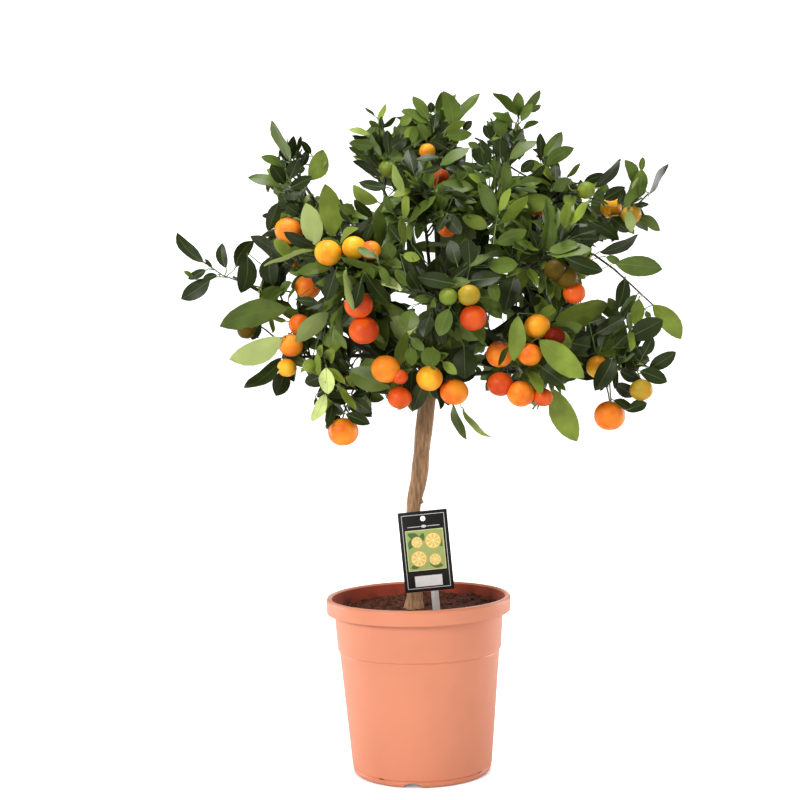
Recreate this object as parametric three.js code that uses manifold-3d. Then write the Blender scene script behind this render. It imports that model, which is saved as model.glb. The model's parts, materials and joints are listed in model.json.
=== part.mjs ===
// Calamondin orange tree: a small standard with a round head, in a plastic nursery pot.
// Millimetres, +Z up, the front faces -Y. The origin is the middle of the pot's underside.

import * as THREE from 'three';
import { mergeVertices } from 'three/addons/utils/BufferGeometryUtils.js';
import Module from 'manifold-3d';

const wasm = await Module();
wasm.setup();

// ---------------------------------------------------------------- driving dimensions

const GAP = 0.3;                 // clearance between pieces that touch
const SPACE_MARGIN = 0.4;        // each foliage mass stays this far inside its own space
const FINEST_DETAIL = 0.05;      // edges shorter than this are merged away

const POT_HEIGHT = 190;
const POT_RIM_RADIUS = 100;
const POT_FOOT_RADIUS = 74;
const POT_SEGMENTS = 28;
const RIM_DEPTH = 16.5;
const STEP_HEIGHT = 133;         // the ledge where pots stacked inside each other stop
const FLOOR_HEIGHT = 4.5;
const DRAINS = 4;                // notches in the foot, and as many holes in the floor
const NOTCH = { turn: 9, radius: 14, drop: 8.6, depth: 18 }; // degrees left of the front
const DRAIN = { radius: 5, out: 52 };

const SOIL_LEVEL = 175;
const SOIL_TILT = [0.02, 0.025]; // the compost rises a little towards the right and the back
const SOIL_LUMP = 1.6;
const SOIL_LEVEL_RADIUS = 24;    // the compost is flat this far round the trunk

const LEAF_LENGTH = 80;          // larger than life, so that few of them fill the crown
const LEAF_WIDTH = 0.52;         // of its length
const LEAF_VARIES = 0.15;        // how far a leaf's length lies above or below that, at most
const SMALLEST_LEAF = 0.5;       // a leaf shrinks to this share to stay in its space
const LEAF_LEANS = { tip: 0.15, first: 0.7, next: 0.2, onStem: 0.8 };
const SHOOTS = 3;                // shoots on each foliage stem, unless it has more fruit
const LEAVES_ON_SHOOT = 5;
const LEAVES_BY_FRUIT = 3;       // leaves on a shoot that ends in a fruit
const LEAVES_ON_STEM = 3;
const TURNS_TRIED = 7;           // a leaf that would cross another is turned on round its shoot
const TURN_STEP = 0.9;
const FACING = 80;               // leaves at the sides face a little to the front or the back
const GOLDEN_ANGLE = THREE.MathUtils.degToRad(137.5);
const FULL_TURN = 2 * Math.PI;
const FRUIT_SQUASH = 0.93;       // height of a fruit over its width
const FRUIT_DEPTH = 0.75;        // how far out a fruit hangs, of its mass's reach

const BOUGH_TIP_RADIUS = 1.9;
const BOUGH_ENTRY = 0.85;        // where a bough ends, from its mass's middle to its surface
const TWIG_RADIUS = 1.7;
const TWIG_TIP_RADIUS = 1.3;
const ROOT_DEPTH = 0.3;          // a leaf's root lies this far behind the middle of its twig
const CROWN_HEART = new THREE.Vector3(35, 0, 520);
const DROOP_REACH = 250;         // height over the heart at which growth turns fully upward

// Trunk: centre line as [x, y, z], and its radius at heights above the pot's underside.
const TRUNK_LINE = [
  [-6, 1, 165], [-4, 0, 190], [-3, 0, 240], [-2.5, 0, 288], [4, 0, 318], [9, 0, 360], [15, 0, 402],
  [23, 1, 450],
];
const TRUNK_RADII = [
  [165, 14], [176, 11.5], [186, 8.8], [230, 7.7], [288, 7.6], [308, 8.6], [327, 9.3], [346, 8.6],
  [366, 9.3], [390, 9.2], [450, 8.4],
];

const STUB = { at: [3, -1, 292], radius: 3, length: 13, lean: -1.2 };
const KNOB = { at: [14.5, -5, 365], radius: 4.2 };

const LABEL = {
  width: 52, height: 85, thickness: 0.8, centre: [8.75, -45, 244], tilt: -4.3,
  holeRadius: 2.7, holeDrop: 8,
};
const STAKE = { width: 8, thickness: 1.4, top: 28, length: 130, point: 12, aside: 5 };

// Foliage masses. at: middle; reach: how far it grows each way; bough: the limb that its own
// bough leaves (trunk or another mass), and how far along. fruit: [right, up, width] from the
// middle on the front, hidden: how many more are spread over the side away from the front.
const MASSES = [
  { name: 'top_centre', at: [34, -20, 670], reach: [50, 46, 68], bough: ['trunk', 1],
    fruit: [[-14, -8, 21], [-1, -36, 22]] },
  { name: 'left_shoulder', at: [-98, -45, 596], reach: [72, 54, 56], bough: ['trunk', 0.9],
    fruit: [[-26, -15, 29]] },
  { name: 'right_crest', at: [160, -35, 614], reach: [52, 50, 60], bough: ['trunk', 0.96],
    fruit: [[22, 2, 19], [-27, -15, 19]] },
  { name: 'left_side', at: [-149, -30, 514], reach: [66, 52, 54], bough: ['trunk', 0.84],
    fruit: [[43, 12, 27]] },
  { name: 'right_side', at: [206, -28, 520], reach: [70, 52, 62], bough: ['trunk', 0.93],
    hidden: 1 },
  { name: 'low_right', at: [126, -90, 442], reach: [66, 56, 66], bough: ['trunk', 0.87],
    fruit: [[-42, 8, 28], [-40, -22, 26], [-20, -32, 28], [-11, 7, 24], [-2, 40, 26]] },
  { name: 'centre_front', at: [27, -135, 510], reach: [70, 54, 58], bough: ['trunk', 0.94],
    fruit: [[7, -3, 17], [27, -2, 22], [31, -24, 27]] },
  { name: 'low_left', at: [-76, -75, 425], reach: [54, 52, 66], bough: ['trunk', 0.81],
    fruit: [[3, -49, 28]] },
  { name: 'back_centre', at: [35, 135, 540], reach: [72, 58, 72], bough: ['trunk', 0.91],
    hidden: 2 },
  { name: 'back_right', at: [165, 88, 585], reach: [70, 62, 68], bough: ['trunk', 0.98],
    hidden: 1 },
  { name: 'back_left', at: [-92, 90, 568], reach: [70, 62, 66], bough: ['trunk', 0.87],
    hidden: 2 },
  { name: 'top_left', at: [-42, 5, 664], reach: [50, 46, 72], bough: ['top_centre', 0.3],
    fruit: [[20, -16, 20]] },
  { name: 'top_right', at: [112, 12, 674], reach: [54, 50, 66], bough: ['top_centre', 0.22] },
  { name: 'upper_front', at: [14, -102, 600], reach: [60, 52, 60], bough: ['top_centre', 0.12],
    fruit: [[22, -24, 20]] },
  { name: 'upper_right', at: [84, -76, 602], reach: [58, 52, 62], bough: ['top_centre', 0.18] },
  { name: 'back_high', at: [30, 88, 640], reach: [70, 60, 66], bough: ['top_centre', 0.4],
    hidden: 1 },
  { name: 'left_top', at: [-127, 10, 660], reach: [50, 46, 52], bough: ['left_shoulder', 0.55] },
  { name: 'left_front', at: [-48, -110, 524], reach: [64, 52, 70], bough: ['left_shoulder', 0.35],
    fruit: [[-34, 30, 27], [-8, 34, 24], [8, 31, 20], [-5, -22, 29], [0, -48, 30]] },
  { name: 'far_left', at: [-205, -10, 548], reach: [58, 44, 46], bough: ['left_side', 0.6] },
  { name: 'left_low', at: [-142, -50, 454], reach: [62, 52, 54], bough: ['left_side', 0.4],
    fruit: [[26, 31, 23], [17, 10, 25], [15, -14, 20], [-29, 26, 18]] },
  { name: 'right_front', at: [128, -100, 545], reach: [70, 56, 60], bough: ['right_crest', 0.35],
    fruit: [[13, -13, 22], [25, -21, 22], [35, -36, 24]] },
  { name: 'right_top', at: [245, 0, 613], reach: [45, 46, 57], bough: ['right_side', 0.5],
    fruit: [[-37, -11, 23], [-11, -20, 21]] },
  { name: 'far_right', at: [256, -35, 474], reach: [41, 42, 48], bough: ['right_side', 0.7] },
  { name: 'right_low', at: [208, -62, 436], reach: [60, 52, 62], bough: ['low_right', 0.55],
    fruit: [[-27, -1, 24], [23, -26, 24], [-9, -51, 30]] },
  { name: 'low_centre', at: [11, -100, 442], reach: [64, 52, 56], bough: ['centre_front', 0.3],
    fruit: [[4, -14, 27], [27, -28, 26], [-39, -4, 30], [-26, -32, 24]] },
  { name: 'back_low_left', at: [-55, 98, 465], reach: [70, 62, 64], bough: ['back_left', 0.35],
    hidden: 2 },
  { name: 'back_low_right', at: [125, 100, 468], reach: [74, 62, 66], bough: ['back_right', 0.3],
    hidden: 2 },
];

// ---------------------------------------------------------------- materials

const finish = (color, roughness) => () => (
  new THREE.MeshStandardMaterial({ color, roughness, metalness: 0 })
);
const terracottaPlastic = finish(0xe79b79, 0.45);
const compost = finish(0x32201a, 0.95);
const bark = finish(0xa8835c, 0.8);
const youngBark = finish(0x5c5a38, 0.7);
const foliage = finish(0x3f6430, 0.4);
const printedCard = finish(0x161412, 0.35);
const whitePlastic = finish(0xe8e6e0, 0.5);

// ---------------------------------------------------------------- solids and booleans

// A closed geometry as a solid that can be joined and cut.
function solidOf(geometry) {
  const bare = geometry.clone();
  bare.deleteAttribute('normal');
  bare.deleteAttribute('uv');
  const welded = mergeVertices(bare, 1e-4);
  return new wasm.Manifold(new wasm.Mesh({
    numProp: 3,
    vertProperties: new Float32Array(welded.attributes.position.array),
    triVerts: new Uint32Array(welded.index.array),
  }));
}

function geometryOf(solid) {
  const mesh = solid.getMesh();
  const geometry = new THREE.BufferGeometry();
  geometry.setAttribute('position', new THREE.BufferAttribute(mesh.vertProperties, 3));
  geometry.setIndex(new THREE.BufferAttribute(mesh.triVerts, 1));
  geometry.computeVertexNormals();
  return geometry;
}

// The largest closed body of a solid, with no edge shorter than the finest detail: loose scraps
// are dropped and sealed hollows are filled.
function mainBody(solid) {
  const bodies = solid.asOriginal().simplify(FINEST_DETAIL).decompose();
  return bodies.reduce((best, body) => (body.volume() > best.volume() ? body : best));
}

const join = (solids) => wasm.Manifold.union(solids);
const place = (solid, matrix) => solid.transform(matrix.elements);

function piece(name, solid, material) {
  const mesh = new THREE.Mesh(geometryOf(solid), material());
  mesh.name = name;
  return mesh;
}

// Profile points are [radius, height]; the lathe turns about Y, so it is stood up onto Z.
function turned(points, segments) {
  const profile = points.map(([radius, height]) => new THREE.Vector2(radius, height));
  return new THREE.LatheGeometry(profile, segments).rotateX(Math.PI / 2);
}

// A tapering limb: a cylinder bent along a curve, with its radius given along the length.
function limbGeometry(curve, radiusAt, sides, steps) {
  const frames = curve.computeFrenetFrames(steps, false);
  const geometry = new THREE.CylinderGeometry(1, 1, 1, sides, steps);
  const position = geometry.attributes.position;
  const local = new THREE.Vector3();
  for (let i = 0; i < position.count; i += 1) {
    local.fromBufferAttribute(position, i);
    const along = local.y + 0.5;
    const ring = Math.round(along * steps);
    const point = curve.getPointAt(along)
      .addScaledVector(frames.normals[ring], local.x * radiusAt(along))
      .addScaledVector(frames.binormals[ring], -local.z * radiusAt(along));
    position.setXYZ(i, point.x, point.y, point.z);
  }
  return geometry;
}

// Straight-line reading of a table of [key, value] rows.
function readTable(table, key) {
  const next = table.findIndex((row) => row[0] >= key);
  if (next <= 0) return table[next < 0 ? table.length - 1 : 0][1];
  const [k0, v0] = table[next - 1];
  const [k1, v1] = table[next];
  return THREE.MathUtils.mapLinear(key, k0, k1, v0, v1);
}

// Repeatable random numbers from 0 to 1.
function seeded(seed) {
  let state = seed;
  return () => {
    state = (state * 48271) % 2147483647;
    return state / 2147483647;
  };
}

// ---------------------------------------------------------------- pot, compost and label

// The pot's inner face from the floor to the compost's level, as [radius, height].
const INNER_WALL = [
  [70, FLOOR_HEIGHT], [73.4, 8], [84.9, STEP_HEIGHT - 1], [86.6, STEP_HEIGHT + 2], [89.6, 172],
];

function pot() {
  const rimFoot = POT_HEIGHT - RIM_DEPTH;
  const profile = [
    [0, 0], [POT_FOOT_RADIUS - 2, 0], [POT_FOOT_RADIUS, 1.8], [POT_FOOT_RADIUS + 1, 5.6],
    [POT_FOOT_RADIUS + 0.3, 6.6], [POT_FOOT_RADIUS + 1.6, 7.6],
    [86.8, STEP_HEIGHT - 1.2], [88.5, STEP_HEIGHT + 1.5],
    [91.4, rimFoot], [93.2, POT_HEIGHT - 4.5], [97.6, POT_HEIGHT - 4.5], [98, rimFoot],
    [99.6, rimFoot + 0.6], [POT_RIM_RADIUS, POT_HEIGHT - 2.5], [POT_RIM_RADIUS - 1.6, POT_HEIGHT],
    [95.6, POT_HEIGHT], [93.6, POT_HEIGHT - 2], ...INNER_WALL.toReversed(), [0, FLOOR_HEIGHT],
  ];
  const shell = solidOf(turned(profile, POT_SEGMENTS));
  const openings = [];
  for (let i = 0; i < DRAINS; i += 1) {
    const turn = THREE.MathUtils.degToRad(-90 - NOTCH.turn + (i * 360) / DRAINS);
    const arch = new THREE.CylinderGeometry(NOTCH.radius, NOTCH.radius, NOTCH.depth, 12)
      .rotateZ(Math.PI / 2)
      .translate(POT_FOOT_RADIUS, 0, -NOTCH.drop)
      .rotateZ(turn);
    const drain = new THREE.CylinderGeometry(DRAIN.radius, DRAIN.radius, 3 * FLOOR_HEIGHT, 8)
      .rotateX(Math.PI / 2)
      .translate(DRAIN.out, 0, FLOOR_HEIGHT / 2)
      .rotateZ(turn + Math.PI / DRAINS);
    openings.push(solidOf(arch), solidOf(drain));
  }
  return mainBody(shell.subtract(join(openings)));
}

// Uneven top of the compost, level where the trunk stands.
function soilHeight(x, y) {
  const broad = Math.sin(x / 13 + 0.6) * Math.cos(y / 15);
  const small = 0.55 * Math.sin(x / 7 - y / 9);
  const away = THREE.MathUtils.smoothstep(Math.hypot(x, y), SOIL_LEVEL_RADIUS, 2 * SOIL_LEVEL_RADIUS);
  return SOIL_LEVEL + away * (SOIL_TILT[0] * x + SOIL_TILT[1] * y + SOIL_LUMP * (broad + small));
}

function soil(label) {
  const sides = INNER_WALL.map(([radius, height]) => [radius - GAP - 0.1, height + GAP]);
  const top = [60, SOIL_LEVEL_RADIUS - 2, 0].map((radius) => [radius, SOIL_LEVEL]);
  const geometry = turned([[0, FLOOR_HEIGHT + GAP], ...sides, ...top], POT_SEGMENTS);
  const position = geometry.attributes.position;
  for (let i = 0; i < position.count; i += 1) {
    if (position.getZ(i) > INNER_WALL.at(-1)[1]) {
      position.setZ(i, soilHeight(position.getX(i), position.getY(i)));
    }
  }
  return mainBody(solidOf(geometry).subtract(label));
}

// The card and its stake are upright and share one tilt in their own plane.
function labelPlace(right, forward, up) {
  return new THREE.Matrix4()
    .makeTranslation(...LABEL.centre)
    .multiply(new THREE.Matrix4().makeRotationY(THREE.MathUtils.degToRad(LABEL.tilt)))
    .multiply(new THREE.Matrix4().makeTranslation(right, -forward, up));
}

function labelCard() {
  const card = solidOf(new THREE.BoxGeometry(LABEL.width, LABEL.thickness, LABEL.height));
  const hole = new THREE.CylinderGeometry(LABEL.holeRadius, LABEL.holeRadius, 4, 12)
    .translate(0, 0, LABEL.height / 2 - LABEL.holeDrop);
  return place(card.subtract(solidOf(hole)), labelPlace(0, 0, 0));
}

// A flat stake with a pointed foot, just behind the card. Grown, it is the slot it stands in.
function labelStake(grow = 0) {
  const half = STAKE.width / 2 + grow;
  const foot = STAKE.top - STAKE.length - grow;
  const outline = new THREE.Shape([
    new THREE.Vector2(0, foot), new THREE.Vector2(half, foot + STAKE.point),
    new THREE.Vector2(half, STAKE.top), new THREE.Vector2(-half, STAKE.top),
    new THREE.Vector2(-half, foot + STAKE.point),
  ]);
  const depth = STAKE.thickness + 2 * grow;
  const strip = new THREE.ExtrudeGeometry(outline, { depth, bevelEnabled: false })
    .translate(0, 0, -depth / 2)
    .rotateX(Math.PI / 2);
  const behind = LABEL.thickness / 2 + GAP + STAKE.thickness / 2;
  return place(solidOf(strip), labelPlace(STAKE.aside, -behind, 0));
}

// ---------------------------------------------------------------- trunk and boughs

const vector = (xyz) => new THREE.Vector3(...xyz);
const trunkCurve = new THREE.CatmullRomCurve3(TRUNK_LINE.map(vector));

function trunk() {
  const radiusAt = (along) => readTable(TRUNK_RADII, trunkCurve.getPointAt(along).z);
  const stem = solidOf(limbGeometry(trunkCurve, radiusAt, 9, 12));
  const stub = new THREE.CylinderGeometry(STUB.radius - 0.4, STUB.radius + 0.4, STUB.length, 7)
    .rotateZ(STUB.lean)
    .translate(...STUB.at);
  const knob = new THREE.IcosahedronGeometry(KNOB.radius, 0).translate(...KNOB.at);
  const below = new THREE.BoxGeometry(60, 60, 40).translate(0, 0, SOIL_LEVEL + GAP - 20);
  return mainBody(join([stem, solidOf(stub), solidOf(knob)]).subtract(solidOf(below)));
}

// Each mass has a convex space: its own ellipsoid, cut by the plane that it shares with each
// neighbour. A plane is a unit normal out of the mass and its distance from the middle.
function layOutMasses() {
  const masses = MASSES.map((mass, index) => ({
    ...mass,
    seed: 1009 * (index + 3),
    centre: vector(mass.at),
    radii: vector(mass.reach),
    size: (mass.reach[0] + mass.reach[1] + mass.reach[2]) / 3,
  }));
  for (const mass of masses) {
    mass.planes = masses.filter((other) => other !== mass).map((other) => {
      const normal = other.centre.clone().sub(mass.centre);
      const apart = normal.length();
      return { normal: normal.divideScalar(apart), distance: apart / 2 - SPACE_MARGIN };
    });
  }
  return masses;
}

const masses = layOutMasses();
const massNamed = (name) => masses.find((mass) => mass.name === name);

function inSpace(mass, point) {
  const offset = point.clone().sub(mass.centre);
  if (offset.clone().divide(mass.radii).length() > 1) return false;
  return mass.planes.every((plane) => plane.normal.dot(offset) < plane.distance);
}

// How far it is from a point inside the space to its surface, along a unit direction.
function roomAhead(mass, point, direction) {
  const offset = point.clone().sub(mass.centre);
  const p = offset.clone().divide(mass.radii);
  const d = direction.clone().divide(mass.radii);
  const [a, b, c] = [d.lengthSq(), p.dot(d), p.lengthSq() - 1];
  let room = (-b + Math.sqrt(Math.max(0, b * b - a * c))) / a;
  for (const { normal, distance } of mass.planes) {
    const speed = normal.dot(direction);
    if (speed > 0) room = Math.min(room, (distance - normal.dot(offset)) / speed);
  }
  return Math.max(0, room);
}

// A bough leaves its parent's middle line and ends where it enters its mass.
function layOutBoughs() {
  const served = (name) => 1 + masses
    .filter((mass) => mass.bough[0] === name)
    .reduce((sum, mass) => sum + served(mass.name), 0);
  for (const mass of masses) {
    const [parentName, at] = mass.bough;
    const parent = parentName === 'trunk' ? trunkCurve : massNamed(parentName).limb;
    const start = parent.getPointAt(at);
    const parentWay = parent.getTangentAt(at);
    if (at === 1) start.addScaledVector(parentWay, GAP);
    const outward = mass.centre.clone().sub(start).normalize();
    const entry = roomAhead(mass, mass.centre, outward.clone().negate()) * BOUGH_ENTRY;
    const end = mass.centre.clone().addScaledVector(outward, -entry);
    const length = end.distanceTo(start);
    const leave = parentWay.lerp(outward, at === 1 ? 0.1 : 0.55).normalize();
    mass.limb = new THREE.CubicBezierCurve3(
      start,
      start.clone().addScaledVector(leave, length * 0.35),
      end.clone().addScaledVector(outward, -length * 0.3),
      end,
    );
    mass.limbRoot = BOUGH_TIP_RADIUS * 1.2 * served(mass.name) ** 0.45;
    mass.heading = outward;
  }
}

layOutBoughs();

const boughRadius = (mass) => (along) => THREE.MathUtils.lerp(mass.limbRoot, BOUGH_TIP_RADIUS, along);

function bough(mass, grow = 0) {
  const radiusAt = boughRadius(mass);
  return solidOf(limbGeometry(mass.limb, (along) => radiusAt(along) + grow, 5, 3));
}

// ---------------------------------------------------------------- foliage

// A leaf one unit long and one wide: folded up along its midrib, with a keel under its stalk.
const LEAF_POINTS = [
  [0, 0, 0], [1, 0, -0.05], [0.26, 0, -0.04],
  [0.28, 0.44, 0.03], [0.66, 0.42, 0.01], [0.28, -0.44, 0.03], [0.66, -0.42, 0.01],
];
const LEAF_FACES = [
  [0, 1, 4], [0, 4, 3], [1, 0, 6], [6, 0, 5],
  [0, 3, 2], [3, 4, 2], [4, 1, 2], [0, 2, 5], [5, 2, 6], [6, 2, 1],
];

function leafGeometry() {
  const geometry = new THREE.BufferGeometry();
  geometry.setAttribute('position', new THREE.Float32BufferAttribute(LEAF_POINTS.flat(), 3));
  return geometry.setIndex(LEAF_FACES.flat());
}

const leafShape = solidOf(leafGeometry());
const fruitShape = solidOf(
  new THREE.SphereGeometry(0.5, 6, 4).rotateX(Math.PI / 2).scale(1, 1, FRUIT_SQUASH),
);

// A direction turned away from an axis by a lean, at an angle round it.
function leaning(axis, lean, turn) {
  const side = Math.abs(axis.z) > 0.9 ? new THREE.Vector3(1, 0, 0) : new THREE.Vector3(0, 0, 1);
  const u = side.cross(axis).normalize();
  const v = axis.clone().cross(u);
  return axis.clone().multiplyScalar(Math.cos(lean))
    .addScaledVector(u, Math.sin(lean) * Math.cos(turn))
    .addScaledVector(v, Math.sin(lean) * Math.sin(turn));
}

// The leaf whose root is at a point, or nothing where it would leave the mass's space.
function leafAt(mass, root, way, shootWay, length) {
  const facing = root.clone().sub(CROWN_HEART);
  facing.y += facing.y > 0 ? FACING : -FACING;
  const normal = facing.normalize()
    .addScaledVector(shootWay, 0.35)
    .addScaledVector(new THREE.Vector3(0, 0, 1), 0.35);
  normal.addScaledVector(way, -normal.dot(way)).normalize();
  const across = normal.clone().cross(way);
  const most = Math.min(1, roomAhead(mass, root, way) / length);
  for (let share = most; share > SMALLEST_LEAF; share *= 0.9) {
    const long = length * share;
    const matrix = new THREE.Matrix4().makeBasis(
      way.clone().multiplyScalar(long),
      across.clone().multiplyScalar(long * LEAF_WIDTH),
      normal.clone().multiplyScalar(long),
    ).setPosition(root);
    if (LEAF_POINTS.every((point) => inSpace(mass, vector(point).applyMatrix4(matrix)))) {
      return place(leafShape, matrix);
    }
  }
  return null;
}

function twigSolid(curve, root, tip, steps) {
  const radiusAt = (along) => THREE.MathUtils.lerp(root, tip, along);
  return solidOf(limbGeometry(curve, radiusAt, 3, steps));
}

// Fruit on the front keep their place across and up; their depth follows the mass's front.
function fruitPlaces(mass, random) {
  const places = (mass.fruit ?? []).map(([right, up, width]) => {
    const bulge = 1 - (right / mass.radii.x) ** 2 - (up / mass.radii.z) ** 2;
    const forward = FRUIT_DEPTH * mass.radii.y * Math.sqrt(Math.max(0.12, bulge));
    return { width, offset: new THREE.Vector3(right, -forward, up) };
  });
  const away = mass.centre.clone().sub(CROWN_HEART).normalize();
  for (let i = 0; i < (mass.hidden ?? 0); i += 1) {
    const width = 22 + 8 * random();
    const way = leaning(away, 0.4 + 0.5 * random(), i * GOLDEN_ANGLE + FULL_TURN * random());
    way.z -= 0.4;
    const offset = way.normalize().multiply(mass.radii).multiplyScalar(FRUIT_DEPTH);
    places.push({ width, offset });
  }
  for (const { width, offset } of places) {
    for (const { normal, distance } of [...mass.planes, ...mass.planes]) {
      const over = normal.dot(offset) + width / 2 + 0.5 - distance;
      if (over > 0) offset.addScaledVector(normal, -over);
    }
  }
  return places.map(({ width, offset }) => ({ width, at: offset.add(mass.centre) }));
}

// The way a mass grows: out from the heart of the crown, up at the top and drooping below.
function growthAxis(mass) {
  const axis = mass.centre.clone().sub(CROWN_HEART).normalize();
  axis.z += THREE.MathUtils.clamp((mass.centre.z - CROWN_HEART.z) / DROOP_REACH, -0.45, 0.6);
  return axis.normalize();
}

// A shoot runs to each fruit's crown, and the rest spread round the stem in turn.
function layOutShoots(mass, stem, axis, fruits, random) {
  const shoots = fruits.map(({ width, at }, i) => ({
    from: stem.getPointAt(0.3 + (0.5 * i) / fruits.length),
    to: at.clone().add(new THREE.Vector3(0, 0, width * 0.3)),
    fruit: place(fruitShape, new THREE.Matrix4().makeScale(width, width, width).setPosition(at)),
  }));
  const phase = FULL_TURN * random();
  const spread = Math.max(1, SHOOTS - fruits.length);
  for (let k = 0; k < spread; k += 1) {
    const share = (k + 1) / spread;
    const from = stem.getPointAt(0.15 + 0.85 * share);
    const way = leaning(axis, THREE.MathUtils.lerp(1.5, 0.2, share), phase + k * GOLDEN_ANGLE);
    const room = roomAhead(mass, from, way);
    const long = THREE.MathUtils.clamp(room - 0.75 * LEAF_LENGTH, 12, 0.4 * mass.size);
    shoots.push({ from, to: from.clone().addScaledVector(way, long) });
  }
  return shoots;
}

// One stem, its shoots, a fruit on some of them, and leaves round each.
function growMass(mass, limbs) {
  const random = seeded(mass.seed);
  const axis = growthAxis(mass);
  const clearOf = (solid, others) => others.every((other) => solid.intersect(other).isEmpty());
  const foot = mass.limb.getPointAt(1).addScaledVector(mass.heading, GAP);
  const top = mass.centre.clone().addScaledVector(axis, mass.size * 0.05);
  const stem = new THREE.QuadraticBezierCurve3(foot, mass.centre.clone().lerp(foot, 0.45), top);
  const stemSolid = twigSolid(stem, BOUGH_TIP_RADIUS, TWIG_RADIUS, 2);

  const shoots = layOutShoots(mass, stem, axis, fruitPlaces(mass, random), random)
    .map(({ from, to, fruit }) => {
      const curve = new THREE.LineCurve3(from, to);
      return { curve, fruit, twig: twigSolid(curve, TWIG_RADIUS, TWIG_TIP_RADIUS, 1) };
    })
    .filter(({ twig, fruit }) => clearOf(fruit ? join([twig, fruit]) : twig, [limbs]));
  const fruits = shoots.filter(({ fruit }) => fruit).map(({ fruit }) => fruit);
  const leaves = [];

  const addLeaf = (curve, along, lean, turn, others) => {
    const shootWay = curve.getTangentAt(along);
    const length = LEAF_LENGTH * (1 + LEAF_VARIES * (2 * random() - 1));
    for (let i = 0; i < TURNS_TRIED; i += 1) {
      const way = leaning(shootWay, lean, turn + i * TURN_STEP);
      const root = curve.getPointAt(along).addScaledVector(way, -ROOT_DEPTH);
      const leaf = leafAt(mass, root, way, shootWay, length);
      if (leaf && clearOf(leaf, [limbs, ...others, ...fruits, ...leaves])) {
        leaves.push(leaf);
        return;
      }
    }
  };

  for (const { curve, fruit, twig } of shoots) {
    const others = shoots.filter((shoot) => shoot.twig !== twig).map((shoot) => shoot.twig);
    const turn = FULL_TURN * random();
    for (let i = 0; i < (fruit ? LEAVES_BY_FRUIT : LEAVES_ON_SHOOT); i += 1) {
      const along = fruit ? 0.6 - 0.16 * i : 1 - 0.22 * i;
      const lean = i === 0 && !fruit ? LEAF_LEANS.tip : LEAF_LEANS.first + LEAF_LEANS.next * i;
      addLeaf(curve, along, lean, turn + i * GOLDEN_ANGLE, [stemSolid, ...others]);
    }
  }
  const twigs = shoots.map((shoot) => shoot.twig);
  const turn = FULL_TURN * random();
  for (let i = 0; i < LEAVES_ON_STEM; i += 1) {
    addLeaf(stem, 0.12 + 0.3 * i, LEAF_LEANS.onStem, turn + i * GOLDEN_ANGLE, twigs);
  }
  return mainBody(join([stemSolid, ...twigs, ...fruits, ...leaves]));
}

// ---------------------------------------------------------------- assembly

const tree = new THREE.Group();
tree.name = 'calamondin_orange_tree';

tree.add(piece('pot', pot(), terracottaPlastic));
tree.add(piece('soil', soil(labelStake(GAP)), compost));
tree.add(piece('label_card', labelCard(), printedCard));
tree.add(piece('label_stake', labelStake(), whitePlastic));

const trunkSolid = trunk();
tree.add(piece('trunk', trunkSolid, bark));

// A bough is cut clear of the limbs made before it, and leaves keep clear of every limb.
const grownTrunk = solidOf(limbGeometry(
  trunkCurve, (along) => readTable(TRUNK_RADII, trunkCurve.getPointAt(along).z) + GAP, 9, 12,
));
const clearances = [grownTrunk];
for (const mass of masses) {
  const solid = mainBody(bough(mass).subtract(join(clearances)));
  clearances.push(bough(mass, GAP + 0.1));
  tree.add(piece(`bough_${mass.name}`, solid, youngBark));
}

const limbs = join(clearances);
for (const mass of masses) {
  tree.add(piece(`foliage_${mass.name}`, growMass(mass, limbs), foliage));
}

export default tree;
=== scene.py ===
"""Calamondin orange tree: a small standard with a round head of fruit, in a plastic pot.

The tree is planned in millimetres, in the part's own frame: +Z up, the front faces -Y and
the origin is the middle of the pot's underside. Meshes are made in metres.
"""

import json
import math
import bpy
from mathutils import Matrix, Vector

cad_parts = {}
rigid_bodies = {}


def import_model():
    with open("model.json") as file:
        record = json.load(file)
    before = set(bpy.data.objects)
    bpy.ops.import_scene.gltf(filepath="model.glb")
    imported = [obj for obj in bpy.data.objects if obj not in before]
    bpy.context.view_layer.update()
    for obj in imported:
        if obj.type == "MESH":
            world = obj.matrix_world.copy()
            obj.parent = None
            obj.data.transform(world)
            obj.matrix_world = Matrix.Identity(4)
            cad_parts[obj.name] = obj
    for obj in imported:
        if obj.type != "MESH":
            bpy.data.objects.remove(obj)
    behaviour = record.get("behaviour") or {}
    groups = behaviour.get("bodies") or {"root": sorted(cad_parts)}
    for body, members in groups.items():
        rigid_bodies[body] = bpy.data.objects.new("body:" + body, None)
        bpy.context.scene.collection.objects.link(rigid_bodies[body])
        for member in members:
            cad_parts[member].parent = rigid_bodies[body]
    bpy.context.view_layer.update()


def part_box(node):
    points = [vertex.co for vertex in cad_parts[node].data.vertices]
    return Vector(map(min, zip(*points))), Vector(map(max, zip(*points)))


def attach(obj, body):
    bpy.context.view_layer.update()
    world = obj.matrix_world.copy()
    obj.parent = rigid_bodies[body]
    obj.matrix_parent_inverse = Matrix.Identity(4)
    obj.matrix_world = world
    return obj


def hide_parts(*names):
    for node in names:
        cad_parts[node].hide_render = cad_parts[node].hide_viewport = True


bl_info = {
    "name": "Calamondin Orange Tree",
    "version": (1, 0, 0),
    "blender": (4, 5, 0),
    "location": "3D View > Sidebar > Citrus",
    "description": "Grows a potted calamondin orange tree round its packed frame",
    "category": "Add Mesh",
}

import bmesh
import bpy
import numpy as np
from bpy.props import FloatProperty, FloatVectorProperty, IntProperty, PointerProperty
from mathutils import Matrix, Vector, noise

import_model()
MM = 0.001
BODY = "root"

# ---------------------------------------------------------------- the tree's named sizes, in mm

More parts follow.
